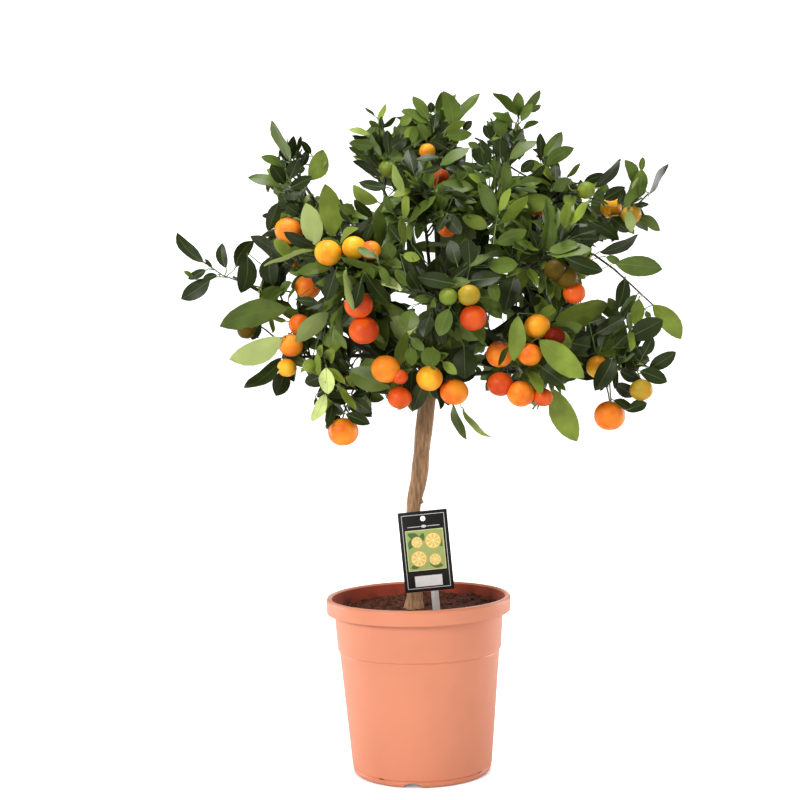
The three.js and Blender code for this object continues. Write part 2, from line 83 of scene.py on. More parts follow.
CROWN_HEART = Vector((35, 0, 520))
GAP = 0.3
SPACE_MARGIN = 0.4
PROUD = 6                # how far leaves may stand out of their mass's own ellipsoid
MINGLE = 26              # how far they may reach past the planes into the next mass
SMALLEST_LEAF = 0.6      # a leaf shrinks to this share to stay in its space
BOUGH_TIP_RADIUS = 1.9
BOUGH_ENTRY = 0.85
DROOP_REACH = 250
GOLDEN_ANGLE = math.radians(137.5)
FULL_TURN = 2 * math.pi

TRUNK_LINE = [
    (-6, 1, 165), (-4, 0, 190), (-3, 0, 240), (-2.5, 0, 288), (4, 0, 318), (9, 0, 360),
    (15, 0, 402), (23, 1, 450),
]
TRUNK_RADII = [
    (165, 14), (176, 11.5), (186, 8.8), (230, 7.7), (288, 7.6), (308, 8.6), (327, 9.3),
    (346, 8.6), (366, 9.3), (390, 9.2), (450, 8.4),
]
STUB = {"at": (2.6, -1, 291), "radius": 3.4, "length": 10, "lean": 1.1}
KNOB = {"at": (14.5, -5, 365), "radius": 5}
SCAR = {"at": (10.6, -9, 375), "reach": 9}

# Each mass: name, middle, reach each way, the limb its bough leaves and how far along.
MASSES = [
    ("top_centre", (34, -20, 670), (50, 46, 68), "trunk", 1),
    ("left_shoulder", (-98, -45, 596), (72, 54, 56), "trunk", 0.9),
    ("right_crest", (160, -35, 614), (52, 50, 60), "trunk", 0.96),
    ("left_side", (-149, -30, 514), (66, 52, 54), "trunk", 0.84),
    ("right_side", (206, -28, 520), (70, 52, 62), "trunk", 0.93),
    ("low_right", (126, -90, 442), (66, 56, 66), "trunk", 0.87),
    ("centre_front", (27, -135, 510), (70, 54, 58), "trunk", 0.94),
    ("low_left", (-76, -75, 425), (54, 52, 66), "trunk", 0.81),
    ("back_centre", (35, 135, 540), (72, 58, 72), "trunk", 0.91),
    ("back_right", (165, 88, 585), (70, 62, 68), "trunk", 0.98),
    ("back_left", (-92, 90, 568), (70, 62, 66), "trunk", 0.87),
    ("top_left", (-42, 5, 664), (50, 46, 72), "top_centre", 0.3),
    ("top_right", (112, 12, 674), (54, 50, 66), "top_centre", 0.22),
    ("upper_front", (14, -102, 600), (60, 52, 60), "top_centre", 0.12),
    ("upper_right", (84, -76, 602), (58, 52, 62), "top_centre", 0.18),
    ("back_high", (30, 88, 640), (70, 60, 66), "top_centre", 0.4),
    ("left_top", (-127, 10, 660), (50, 46, 52), "left_shoulder", 0.55),
    ("left_front", (-48, -110, 524), (64, 52, 70), "left_shoulder", 0.35),
    ("far_left", (-205, -10, 548), (58, 44, 46), "left_side", 0.6),
    ("left_low", (-142, -50, 454), (62, 52, 54), "left_side", 0.4),
    ("right_front", (128, -100, 545), (70, 56, 60), "right_crest", 0.35),
    ("right_top", (245, 0, 613), (45, 46, 57), "right_side", 0.5),
    ("far_right", (256, -35, 474), (41, 42, 48), "right_side", 0.7),
    ("right_low", (208, -62, 436), (60, 52, 62), "low_right", 0.55),
    ("low_centre", (11, -100, 442), (64, 52, 56), "centre_front", 0.3),
    ("back_low_left", (-55, 98, 465), (70, 62, 64), "back_left", 0.35),
    ("back_low_right", (125, 100, 468), (74, 62, 66), "back_right", 0.3),
]

# Fruit on the front of a mass: right and up from its middle, width, ripeness.
FRUIT = {
    "top_centre": [(-14, -8, 17, "yellow"), (-2, -38, 22, "deep")],
    "left_shoulder": [(-26, -15, 29, "orange")],
    "right_crest": [(22, 2, 19, "green"), (-36, -18, 15, "deep")],
    "left_side": [(43, 12, 27, "orange")],
    "low_right": [
        (-42, 8, 28, "orange"), (-40, -22, 26, "deep"), (-20, -32, 28, "orange"),
        (-11, 7, 24, "orange"), (-2, 40, 26, "yellow"),
    ],
    "centre_front": [(7, -3, 18, "green"), (27, -2, 22, "turning"), (31, -24, 27, "deep")],
    "low_left": [(3, -50, 31, "orange")],
    "top_left": [(20, -16, 20, "green")],
    "upper_front": [(22, -24, 20, "orange")],
    "left_front": [
        (-34, 30, 27, "yellow"), (-8, 34, 24, "yellow"), (8, 31, 20, "orange"),
        (-5, -22, 29, "deep"), (0, -48, 30, "deep"),
    ],
    "left_low": [
        (26, 31, 23, "orange"), (17, 10, 25, "orange"), (15, -14, 20, "yellow"),
        (-29, 26, 18, "painted_shade_unripe"),
    ],
    "right_front": [(13, -13, 22, "painted_shade_unripe"), (25, -21, 22, "painted_shade_unripe"), (33, -36, 23, "deep")],
    "right_top": [(-37, -11, 23, "yellow"), (-11, -20, 21, "turning")],
    "right_low": [(-27, -1, 24, "yellow"), (23, -26, 24, "turning"), (-8, -52, 33, "orange")],
    "low_centre": [
        (4, -14, 27, "yellow"), (28.5, -28.5, 28, "orange"), (-39, -4, 30, "orange"),
        (-26, -33, 24, "deep"),
    ],
}
HIDDEN_FRUIT = {
    "back_centre": 2, "back_right": 1, "back_left": 2, "back_high": 1,
    "back_low_left": 2, "back_low_right": 2,
}
# More fruit spread over the side of a mass that faces away from the heart of the crown.
SPREAD_FRUIT = {
    "back_centre": 3, "back_right": 4, "back_left": 4, "back_high": 3, "back_low_left": 3,
    "back_low_right": 4,
}
# Small fruit among the rest, in the same terms.
SMALL_FRUIT = {
    "low_left": [(-29, 18, 15, "green")],
    "low_right": [(2, -36, 20, "deep"), (15, 24, 20, "painted_shade_ripe")],
    "low_centre": [(-25, -12, 16, "deep")],
}

# Leafy shoots in a mass, as a share of the usual number.
MASS_SHOOTS = {"far_left": 0.3, "far_right": 0.8}

GAP_KEPT = 0.8           # how much of a wide gap no leaf may cover
SIDE_DEPTH = 25          # how far from the heart a leaf is to count as on one side
UP = Vector((0, 0, 1))
FRONT = (0, -1, 0)
TOP = (0, 0, 1)
ASPECTS = [(FRONT, 400), ((1, 0, 0), 300), ((-1, 0, 0), 300), ((0, 1, 0), 300), (TOP, 300)]

RIPENESSES = ("orange", "yellow", "deep", "turning", "green")
# Fruit kinds whose colour is painted shade: darkened copies of unripe and ripe fruit, for fruit deep
# in the crown.
SHADED = ("painted_shade_unripe", "painted_shade_ripe")

# How each mass looks: shares of dark, mid, light and new leaves. The tones are partly the leaves' own
# age and partly painted light and shade, chosen by how lit or shaded the leaves look.
TONES = ("dark", "mid", "light", "new", "pale")
USUAL_TONES = (0.45, 0.38, 0.16, 0.01)
MASS_TONES = {
    "far_left": (0.9, 0.1, 0, 0),
    "left_top": (0.6, 0.35, 0.05, 0),
    "top_left": (0.25, 0.5, 0.22, 0.03),
    "top_centre": (0.25, 0.5, 0.25, 0),
    "centre_front": (0.7, 0.28, 0.02, 0),
    "low_left": (0.5, 0.4, 0.1, 0),
    "upper_right": (0.25, 0.5, 0.25, 0),
    "right_low": (0.55, 0.4, 0.05, 0),
}

# ---------------------------------------------------------------- the view from the front

VIEW = {"side": 800, "focal": 1510, "sensor": 36, "pitch": 2.1, "roll": 1.4}
VIEW_PLACE = Vector((-14.7, -1630, 462))
HALF = VIEW["side"] / 2
PITCH, ROLL = math.radians(VIEW["pitch"]), math.radians(VIEW["roll"])

# The squares of a view that are tested for holes, and the least hole worth a leaf.
CELL = 3
CELLS = VIEW["side"] // CELL
FILL_LEAST = 5

SMALL_GAP = 3            # leaves may cover gaps up to this radius, in pixels

# Gaps through the crown in that view: across, down and radius in its pixels.
SKY = [
    (318, 297, 4), (344, 336, 4), (356, 361, 6), (311, 353, 4), (397, 295, 5), (403, 300, 4),
    (416, 304, 4), (424, 308, 4), (428, 236, 6), (429, 227, 3), (437, 231, 4), (428, 259, 4),
    (434, 263, 3), (366, 205, 5), (374, 206, 3), (378, 195, 5), (391, 190, 3), (437, 203, 3),
    (474, 243, 2), (482, 304, 3), (494, 324, 5), (502, 324, 5), (493, 333, 3), (506, 315, 3),
    (468, 345, 3), (550, 259, 3), (543, 277, 2), (554, 327, 3), (516, 169, 5), (472, 160, 5),
    (490, 181, 4), (508, 155, 2), (613, 198, 3), (593, 205, 3), (584, 199, 4), (305, 172, 4),
    (399, 186, 2), (411, 232, 2), (447, 260, 2), (590, 217, 2), (288, 299, 5), (291, 296, 3),
    (286, 313, 3), (291, 277, 4),
]

# The edge of the crown's dense part in that view, which only single leaves pass.
CROWN_EDGE = [
    (268, 234), (272, 211), (279, 200), (266, 186), (272, 168), (280, 150), (292, 142), (300, 148),
    (310, 158), (318, 172), (308, 180), (306, 196), (314, 203), (326, 200), (338, 204), (347, 206),
    (356, 207), (366, 214), (374, 213), (380, 203), (392, 197), (386, 184), (372, 176), (360, 164),
    (356, 150), (362, 138), (374, 130), (384, 128), (392, 136), (398, 130), (404, 118), (412, 108),
    (424, 104), (434, 102), (446, 100), (456, 104), (460, 116), (464, 128), (462, 140), (456, 148),
    (452, 157), (462, 152), (466, 158), (470, 167), (478, 162), (476, 148), (484, 138), (492, 120),
    (502, 118), (510, 122), (514, 132), (524, 140), (530, 146), (524, 154), (512, 157), (511, 167),
    (515, 177), (521, 174), (522, 162), (536, 160), (544, 150), (552, 150), (560, 158), (557, 168),
    (560, 178), (576, 184), (590, 179), (604, 177), (612, 184), (605, 191), (601, 197), (614, 206),
    (622, 204), (628, 190), (634, 176), (642, 172), (646, 186), (641, 198), (642, 206), (646, 217),
    (652, 224), (636, 228), (620, 227), (617, 237), (604, 241), (592, 246), (588, 253), (597, 267),
    (584, 271), (580, 276), (582, 286), (581, 297), (574, 303), (606, 302), (619, 314), (634, 330),
    (641, 345), (645, 356), (649, 367), (650, 374), (640, 373), (628, 371), (617, 369), (611, 388),
    (598, 390), (592, 381), (580, 378), (570, 384), (562, 384), (562, 396), (548, 403), (540, 405),
    (520, 403), (508, 393), (496, 391), (489, 385), (487, 380), (488, 366), (481, 360), (476, 372),
    (468, 376), (466, 383), (454, 401), (440, 404), (430, 394), (424, 396), (412, 408), (400, 408),
    (392, 396), (382, 396), (372, 405), (366, 421), (352, 416), (346, 414), (338, 414), (337, 426),
    (326, 427), (322, 408), (322, 396), (314, 384), (304, 380), (303, 370), (294, 376), (277, 388),
    (276, 372), (282, 357), (276, 344), (287, 333), (290, 322), (281, 316), (262, 318), (260, 340),
    (252, 337), (250, 325), (238, 322), (240, 307), (258, 299), (262, 287), (264, 262), (276, 259),
    (271, 250), (262, 240),
]

# Twigs that show: the mass each grows from, its thickness in mm at both ends, what it is, and
# its points in the view's pixels.
FRONT_TWIGS = [
    ("far_left", 1, 0.6, "shoot",
     [(296, 294), (266, 289), (238, 281), (222, 275), (212, 269), (204, 262)]),
    ("far_left", 0.7, 0.6, "stalk", [(228, 276), (217, 277), (207, 278)]),
    ("left_top", 1.2, 0.6, "shoot", [(307, 200), (303, 186), (299, 170), (297, 152)]),
    ("left_top", 1, 0.6, "shoot", [(300, 182), (288, 172), (284, 160)]),
    ("top_left", 1.2, 0.6, "shoot", [(386, 192), (384, 165), (380, 138), (379, 121)]),
    ("top_left", 1, 0.6, "shoot", [(400, 165), (402, 148), (400, 132)]),
    ("top_centre", 1.2, 0.7, "shoot", [(436, 160), (434, 142), (430, 118)]),
    ("top_centre", 1.2, 0.7, "shoot", [(446, 160), (448, 142), (449, 126)]),
    ("top_right", 1.2, 0.6, "shoot", [(508, 166), (512, 146), (518, 128), (518, 112)]),
    ("top_right", 1.1, 0.6, "shoot", [(536, 180), (544, 166), (546, 156)]),
    ("right_top", 1.6, 0.9, "shoot", [(602, 216), (624, 214), (639, 203), (649, 193)]),
    ("right_side", 1.7, 0.8, "shoot",
     [(572, 249), (588, 252), (606, 262), (622, 277), (638, 291), (653, 305)]),
    ("far_right", 1.5, 0.7, "shoot", [(590, 318), (608, 334), (622, 347), (640, 362)]),
    ("right_low", 0.8, 0.6, "stalk", [(626, 352), (634, 363), (640, 377)]),
    ("right_low", 0.9, 0.7, "stalk", [(612, 372), (609, 390), (611, 403)]),
    ("low_left", 0.8, 0.6, "stalk", [(330, 308), (325, 324), (318, 342), (312, 358)]),
    ("low_left", 0.9, 0.6, "stalk", [(326, 322), (321, 338), (323, 354), (325, 368), (331, 386)]),
    ("upper_front", 1.4, 0.9, "stalk", [(492, 264), (494, 246), (496, 224)]),
    ("right_front", 1.2, 0.8, "stalk", [(560, 242), (566, 228), (571, 214)]),
]

# Leaves that stand out in that view, back ones first. Each: root and tip across and down,
# width it shows, tone, how many mm it is lifted over what is behind it, and how far it bows.
# The last two are 0 where they are left out.
# A standing leaf's tone is partly painted light: some leaves are given a lighter tone where they fall
# in shade.
FRONT_LEAVES = [
    # far left
    (204, 262, 177, 233, 12, "dark", 0, 4), (210, 280, 181, 299, 17, "dark", 0, 1),
    (212, 268, 205, 259, 4, "dark"), (206, 270, 188, 279, 8, "dark"), (217, 275, 203, 278, 7, "dark"),
    (194, 278, 184, 271, 5, "mid"), (226, 268, 222, 243, 10.5, "dark", 0, 2.3),
    (236, 267, 254, 241, 14, "dark", 0, 4), (247, 256, 241, 293, 20, "dark", 0, 3),
    (272, 256, 273, 286, 19.5, "dark", 0, -3.5), (285, 262, 251, 236, 13, "dark", 0, -3),
    (271, 215, 262, 216, 5, "dark"), (281, 288, 259, 297, 12, "mid"), (280, 293, 262, 304, 9, "mid"),
    (298, 300, 318, 302, 9, "dark"), (309, 308, 324, 303, 7, "dark"),
    # left shoulder
    (278, 203, 268, 231, 14, "dark"), (303, 218, 312, 200, 11, "dark"),
    (300, 215, 285, 205, 12, "dark"), (297, 272, 330, 268, 12, "mid"),
    (336, 270, 326, 301, 15, "dark"), (332, 237, 325, 184, 22, "light", 6, -2),
    (316, 245, 306, 203, 22, "pale", 10), (292, 257, 274, 240, 13, "light", 14),
    (307, 248, 288, 252, 9, "mid", 8), (315, 247, 284, 232, 11, "dark", 16),
    (313, 250, 264, 266, 6, "pale", 16),
    # left top
    (284, 160, 280, 147, 4, "dark"), (297, 151, 301, 136, 5, "dark"), (301, 167, 308, 150, 8, "dark"),
    (311, 154, 302, 141, 7, "dark"), (281, 187, 248, 178, 11, "mid", 0, -2),
    (296, 204, 286, 190, 12, "dark"), (280, 192, 303, 196, 13, "dark"),
    (285, 184, 271, 164, 14, "dark"), (283, 166, 261, 157, 9, "mid", 0, -1.5),
    (286, 164, 294, 136, 10, "dark"), (290, 161, 271, 121, 11, "mid", 0, -1.2),
    (290, 178, 298, 159, 13, "dark"), (290, 188, 312, 177, 12, "dark"),
    (312, 172, 327, 160, 9, "light"), (310, 180, 323, 150, 20, "light", 0, -2.5),
    # upper left
    (375, 116, 365, 108, 2.5, "dark"), (378, 127, 369, 121, 6, "mid"), (383, 128, 396, 117, 5, "mid"),
    (379, 123, 386, 104, 6, "light"), (370, 134, 349, 129, 6, "light"),
    (368, 138, 352, 136, 4, "dark"), (364, 154, 349, 147, 5, "mid"),
    (381, 177, 353, 161, 8, "dark", 0, -2), (378, 168, 366, 155, 9, "dark"),
    (374, 146, 349, 143, 11, "mid"), (382, 155, 378, 134, 12, "dark"),
    (389, 155, 387, 130, 10, "dark"), (382, 157, 369, 133, 6, "mid"), (391, 148, 407, 137, 15, "dark"),
    (399, 136, 394, 126, 6, "mid"), (401, 135, 407, 116, 10, "mid"), (404, 137, 416, 127, 9, "light"),
    (386, 187, 359, 182, 10, "dark", 0, 1.5), (378, 202, 353, 185, 14, "light", 0, 4),
    (352, 222, 340, 208, 10, "dark"), (341, 206, 355, 212, 12, "mid"), (392, 212, 384, 196, 9, "mid"),
    (405, 219, 408, 193, 8, "light"), (381, 247, 377, 209, 13, "mid"),
    (404, 246, 400, 216, 9, "light"), (392, 165, 405, 195, 10, "light", 12),
    (372, 217, 354, 200, 10, "dark"), (400, 241, 388, 226, 10, "dark"), (411, 241, 409, 222, 7, "mid"),
    (383, 131, 381, 116, 5, "dark"),
    # top
    (431, 113, 431, 102, 8, "dark"), (400, 125, 412, 115, 10, "light"),
    (426, 140, 419, 123, 13, "mid"), (412, 143, 415, 126, 9, "mid"),
    (428, 119, 413, 96, 11, "mid", 0, -0.5), (428, 123, 403, 109, 9, "mid"),
    (437, 112, 442, 92, 8, "mid"), (434, 129, 436, 113, 9, "dark"),
    (458, 121, 480, 94, 10, "mid", 0, 1.5), (452, 128, 443, 91, 16, "mid", 0, -4),
    (463, 130, 472, 121, 8, "dark"), (445, 132, 465, 121, 9, "light"), (446, 136, 472, 134, 12, "mid"),
    (469, 148, 440, 165, 11, "mid"), (446, 148, 432, 140, 10, "dark", 14),
    (440, 157, 416, 160, 7, "dark", 14), (424, 172, 441, 167, 7, "dark", 14),
    # upper right
    (480, 142, 484, 166, 20, "dark"), (479, 147, 468, 143, 7, "mid"), (490, 139, 484, 125, 8, "dark"),
    (500, 158, 500, 138, 16, "dark"), (501, 137, 499, 116, 14, "mid"), (514, 122, 492, 113, 7, "mid"),
    (515, 141, 523, 129, 9, "dark"), (523, 129, 539, 122, 6, "mid", 0, 2),
    (530, 112, 541, 105, 6, "mid"), (523, 109, 540, 90, 9, "mid", 0, -2),
    (519, 116, 518, 92, 12, "mid"), (516, 115, 493, 93, 9, "mid", 0, -4.5),
    (521, 121, 532, 103, 9, "mid"), (510, 159, 537, 141, 12, "mid", 0, 1.5),
    (541, 161, 540, 133, 10, "dark"), (544, 156, 562, 132, 14, "mid", 0, -1.5),
    (546, 165, 574, 148, 14, "mid", 0, 2.5), (521, 172, 534, 160, 11, "dark"),
    (532, 178, 545, 165, 7, "dark"), (556, 179, 555, 164, 9, "dark"), (567, 178, 580, 163, 5, "mid"),
    (553, 190, 570, 179, 13, "mid"), (504, 192, 507, 161, 11, "mid"),
    # upper front
    (408, 222, 436, 196, 9, "mid"), (455, 199, 464, 208, 7, "dark"), (457, 264, 450, 240, 15, "dark"),
    (470, 264, 468, 239, 17, "dark"), (496, 217, 479, 182, 15, "mid"),
    (500, 211, 510, 188, 9, "light"), (501, 223, 528, 196, 12, "light"),
    (488, 227, 462, 217, 14, "light"), (496, 243, 527, 231, 15, "mid"),
    (489, 267, 518, 264, 17, "mid", 6), (446, 214, 461, 234, 15, "dark", 14),
    (446, 216, 437, 232, 8, "dark", 14),
    # right front
    (549, 251, 580, 245, 12, "mid"), (550, 254, 591, 249, 13, "mid"),
    (564, 228, 569, 201, 13, "light"), (568, 226, 574, 204, 5, "light"),
    (571, 226, 589, 201, 9, "light"), (566, 258, 603, 271, 17, "dark", 10, -1.5),
    # right top
    (601, 192, 608, 185, 10, "mid"), (584, 182, 604, 174, 9, "dark"),
    (595, 187, 621, 159, 11, "dark", 0, -1.8), (604, 199, 625, 187, 13, "dark"),
    (618, 205, 625, 190, 7, "dark"), (633, 183, 625, 160, 12, "mid", 0, -3.5),
    (641, 171, 643, 157, 6, "mid"), (639, 196, 642, 169, 14, "mid"),
    (650, 194, 668, 164, 7, "dark", 0, 2.5), (625, 206, 636, 186, 10, "mid"),
    (632, 191, 638, 177, 3, "pale"), (636, 206, 649, 204, 5, "dark"), (580, 239, 600, 239, 10, "dark"),
    (611, 217, 629, 232, 13, "dark"), (591, 222, 619, 240, 13, "dark", 0, 2),
    (600, 252, 638, 235, 12, "dark", 0, -3), (638, 216, 660, 231, 10.5, "mid", 0, 1.5),
    (628, 210, 632, 232, 11, "pale", 14),
    # right
    (606, 257, 620, 262, 8, "mid"), (616, 264, 662, 269, 21, "mid", 0, 1),
    (625, 279, 618, 308, 14, "dark", 0, 1), (637, 295, 620, 316, 9, "mid", 0, -1.5),
    (639, 299, 635, 326, 14, "light"), (646, 311, 650, 319, 6, "mid"),
    (653, 305, 681, 339, 19, "light", 0, 3), (618, 311, 608, 298, 9, "mid"),
    (643, 356, 653, 337, 12, "dark"), (630, 337, 663, 320, 22, "dark"),
    (649, 369, 676, 352, 15, "dark", 0, -0.5), (640, 371, 667, 382, 15, "dark", 0, 0.5),
    (640, 362, 650, 360, 5, "dark"), (636, 396, 615, 384, 14, "dark"), (617, 371, 615, 389, 6, "dark"),
    (614, 400, 637, 412, 9, "dark"), (629, 409, 647, 403, 12, "dark"),
    (571, 343, 591, 347, 10, "dark"), (600, 350, 608, 326, 10, "dark"),
    (596, 334, 625, 317, 14, "dark"), (615, 346, 628, 334, 11, "dark"),
    (630, 328, 631, 351, 7, "light"), (608, 304, 555, 320, 24, "light", 8, 1.5),
    (621, 321, 630, 306, 7, "dark"), (630, 332, 628, 312, 6, "mid"), (620, 371, 640, 380, 13, "dark"),
    (592, 322, 606, 318, 9, "dark"), (613, 357, 595, 391, 19, "dark", 14, 1.5),
    # low right
    (540, 366, 563, 383, 20, "dark"), (554, 390, 577, 441, 25, "light", 0, -2),
    (518, 316, 514, 361, 17, "light", 12), (508, 347, 499, 366, 6, "dark", 12),
    (540, 340, 584, 378, 25, "light", 10),
    # centre
    (515, 275, 505, 310, 22, "dark"), (491, 281, 497, 302, 12, "mid"),
    (464, 348, 465, 379, 25, "dark"), (476, 366, 481, 374, 5, "dark"),
    (455, 284, 418, 277, 16, "dark"), (449, 309, 439, 336, 17, "mid"),
    (453, 405, 467, 439, 9, "mid", 0, -3.5), (463, 409, 491, 437, 6.5, "light", 0, -2.8),
    (425, 380, 413, 411, 16, "dark"), (443, 362, 457, 374, 10, "light", 6),
    (434, 367, 427, 347, 20, "mid", 14),
    # left front
    (403, 255, 420, 259, 10, "light"), (392, 259, 385, 243, 16, "mid"),
    (366, 274, 391, 305, 14, "dark", 0, -2), (380, 266, 389, 285, 9, "mid"),
    (412, 310, 407, 331, 20, "mid"), (407, 332, 397, 367, 14, "light"),
    (411, 338, 424, 351, 10, "mid"), (410, 347, 412, 366, 13, "mid"), (412, 372, 410, 399, 16, "dark"),
    (361, 281, 354, 309, 13, "dark", 12), (346, 270, 353, 311, 8, "pale", 14),
    (377, 267, 342, 258, 7, "mid", 12), (376, 258, 357, 248, 8, "mid", 14),
    # low left
    (258, 322, 252, 340, 12, "dark"), (286, 321, 273, 319, 5, "mid"), (271, 317, 273, 333, 5, "mid"),
    (287, 308, 220, 327, 26.5, "mid", 8, -4.5), (285, 371, 276, 396, 18, "dark", 0, 0.5),
    (281, 358, 244, 388, 14, "dark", 0, 5), (282, 338, 229, 359, 24, "pale", 8, 4),
    (329, 313, 295, 341, 18, "pale", 14), (320, 377, 305, 383, 13, "dark"),
    (316, 397, 315, 407, 3, "dark"), (334, 329, 347, 349, 8, "mid"), (352, 399, 370, 412, 14, "dark"),
    (349, 371, 390, 388, 24, "mid"), (346, 414, 370, 424, 12, "dark"),
    (333, 404, 327, 427, 10, "dark"), (340, 416, 328, 428, 10, "dark"),
    (317, 353, 319, 376, 7, "light"), (328, 368, 345, 384, 8, "light"),
    (326, 368, 328, 394, 16, "new", 6), (325, 394, 312, 422, 12, "new", 6, 2),
    (338, 387, 356, 410, 8, "light", 4),
]


def linear(red, green, blue):
    """Display colour from 0 to 255, as the linear colour that shaders take."""
    parts = [c / 255 for c in (red, green, blue)]
    return tuple(c / 12.92 if c <= 0.04045 else ((c + 0.055) / 1.055) ** 2.4 for c in parts)


def opaque(colour):
    return (*colour[:3], 1)


# ---------------------------------------------------------------- settings


def colour_setting(name, description, *display):
    return FloatVectorProperty(name=name, description=description, subtype="COLOR",
                               default=linear(*display))


def length_setting(name, description, default):
    return FloatProperty(name=name, description=description, unit="LENGTH", default=default)


class PotSettings(bpy.types.PropertyGroup):
    """Pot and compost."""

    rim_radius: length_setting("Rim Radius", "Radius over the pot's rim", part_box("pot")[1].x)
    height: length_setting("Height", "Height of the pot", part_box("pot")[1].z)
    plastic: colour_setting("Plastic", "Colour of the moulded plastic", 228, 142, 106)
    # Painted shade: the inner wall's colour is darker and redder than the plastic, standing for the
    # shade and reddened bounced light inside the rim.
    painted_inner_shade: colour_setting("Inner Wall", "Colour inside the rim, where light glows", 158, 62, 38)
    compost: colour_setting("Compost", "Colour of the damp compost", 86, 42, 24)
    crumbs: IntProperty(name="Crumbs", description="Loose crumbs on the compost", default=900,
                        min=0)


class PlantSettings(bpy.types.PropertyGroup):
    """Trunk, boughs and leaves."""

    leaf_length: length_setting("Leaf Length", "Usual length of a leaf blade", 43 * MM)
    leaf_width: FloatProperty(name="Leaf Width", description="Width of a blade, of its length",
                              default=0.46)
    shoots: IntProperty(name="Shoots", description="Leafy shoots grown in each mass", default=15,
                        min=1)
    node_gap: length_setting("Node Gap", "Distance between leaves along a shoot", 7.5 * MM)
    bark: colour_setting("Bark", "Colour of the trunk's bark", 186, 144, 106)
    # The leaf colours stand partly for the leaves' age and partly for painted light and shade.
    dark_leaf: colour_setting("Dark Leaf", "Colour of old leaves", 38, 49, 13)
    mid_leaf: colour_setting("Mid Leaf", "Colour of grown leaves", 84, 102, 36)
    light_leaf: colour_setting("Light Leaf", "Colour of young leaves", 122, 140, 50)
    new_leaf: colour_setting("New Leaf", "Colour of new growth", 192, 206, 126)


class FruitSettings(bpy.types.PropertyGroup):
    """Fruit from green to ripe."""

    squash: FloatProperty(name="Squash", description="Height of a fruit over its width",
                          default=0.92)
    deep: colour_setting("Deep", "Colour of fully ripe fruit", 202, 62, 6)
    orange: colour_setting("Orange", "Colour of ripe fruit", 238, 106, 14)
    yellow: colour_setting("Yellow", "Colour of nearly ripe fruit", 252, 186, 36)
    turning: colour_setting("Turning", "Colour of fruit that starts to ripen", 168, 144, 34)
    green: colour_setting("Green", "Colour of unripe fruit", 112, 134, 38)
    # Painted shade: these two colours stand for fruit darkened by the crown's shade.
    painted_shade_unripe: colour_setting("Dusky", "Colour of unripe fruit deep among the leaves", 74, 60, 10)
    painted_shade_ripe: colour_setting("Claret", "Colour of ripe fruit deep among the leaves", 112, 26, 6)


class LabelSettings(bpy.types.PropertyGroup):
    """Plant label and its stake."""

    width: length_setting("Width", "Width of the card", 52 * MM)
    height: length_setting("Height", "Height of the card", 85 * MM)
    card: colour_setting("Card", "Colour of the card", 20, 17, 17)


class StageSettings(bpy.types.PropertyGroup):
    """Floor, lights and camera."""

    key_power: FloatProperty(name="Key Light", description="Power of the main soft light",
                             unit="POWER", default=46)
    sky_strength: FloatProperty(name="Surroundings", default=0.16,
                                description="Strength of the white surroundings")
    lens: FloatProperty(name="Lens", description="Focal length of the camera", unit="CAMERA",
                        default=VIEW["focal"] * VIEW["sensor"] / VIEW["side"])


# ---------------------------------------------------------------- lines through space


class Path:
    """A line through space, read by its share of the whole length."""

    def __init__(self, points):
        self.points = [Vector(point) for point in points]
        steps = [(b - a).length for a, b in zip(self.points, self.points[1:])]
        self.marks = np.concatenate([[0], np.cumsum(steps)])
        self.length = float(self.marks[-1])

    def span(self, share):
        reach = min(max(share, 0), 1) * self.length
        last = len(self.points) - 2
        index = min(int(np.searchsorted(self.marks, reach, side="right")) - 1, last)
        width = self.marks[index + 1] - self.marks[index]
        return index, float((reach - self.marks[index]) / max(width, 1e-9))

    def at(self, share):
        index, part = self.span(share)
        return self.points[index].lerp(self.points[index + 1], part)

    def way(self, share):
        index, _ = self.span(share)
        return (self.points[index + 1] - self.points[index]).normalized()


def bezier(controls, steps):
    """The path of a curve with three or four control points."""
    points = []
    for i in range(steps + 1):
        row = [Vector(point) for point in controls]
        while len(row) > 1:
            row = [a.lerp(b, i / steps) for a, b in zip(row, row[1:])]
        points.append(row[0])
    return Path(points)


def spline(knots, steps=12):
    """A centripetal curve through every knot."""
    knots = [Vector(knot) for knot in knots]
    ends = [2 * knots[0] - knots[1], *knots, 2 * knots[-1] - knots[-2]]
    points = [knots[0]]
    for p0, p1, p2, p3 in zip(ends, ends[1:], ends[2:], ends[3:]):
        t0 = 0
        t1 = t0 + math.sqrt((p1 - p0).length)
        t2 = t1 + math.sqrt((p2 - p1).length)
        t3 = t2 + math.sqrt((p3 - p2).length)
        for i in range(1, steps + 1):
            t = t1 + (t2 - t1) * i / steps
            a1 = p0.lerp(p1, (t - t0) / (t1 - t0))
            a2 = p1.lerp(p2, (t - t1) / (t2 - t1))
            a3 = p2.lerp(p3, (t - t2) / (t3 - t2))
            b1 = a1.lerp(a2, (t - t0) / (t2 - t0))
            b2 = a2.lerp(a3, (t - t1) / (t3 - t1))
            points.append(b1.lerp(b2, (t - t1) / (t2 - t1)))
    return Path(points)


def read_table(table, key):
    keys, values = zip(*table)
    return float(np.interp(key, keys, values))


def seeded(seed):
    """Repeatable random numbers from 0 to 1."""
    state = seed

    def draw():
        nonlocal state
        state = (state * 48271) % 2147483647
        return state / 2147483647

    return draw


def random_offset(draw):
    return Vector((draw() - 0.5, draw() - 0.5, draw() - 0.5))


def leaning(axis, lean, turn):
    """A direction turned away from an axis by a lean, at an angle round it."""
    side = Vector((1, 0, 0)) if abs(axis.z) > 0.9 else UP
    u = side.cross(axis).normalized()
    v = axis.cross(u)
    rim = u * math.cos(turn) + v * math.sin(turn)
    return axis * math.cos(lean) + rim * math.sin(lean)


# ---------------------------------------------------------------- views


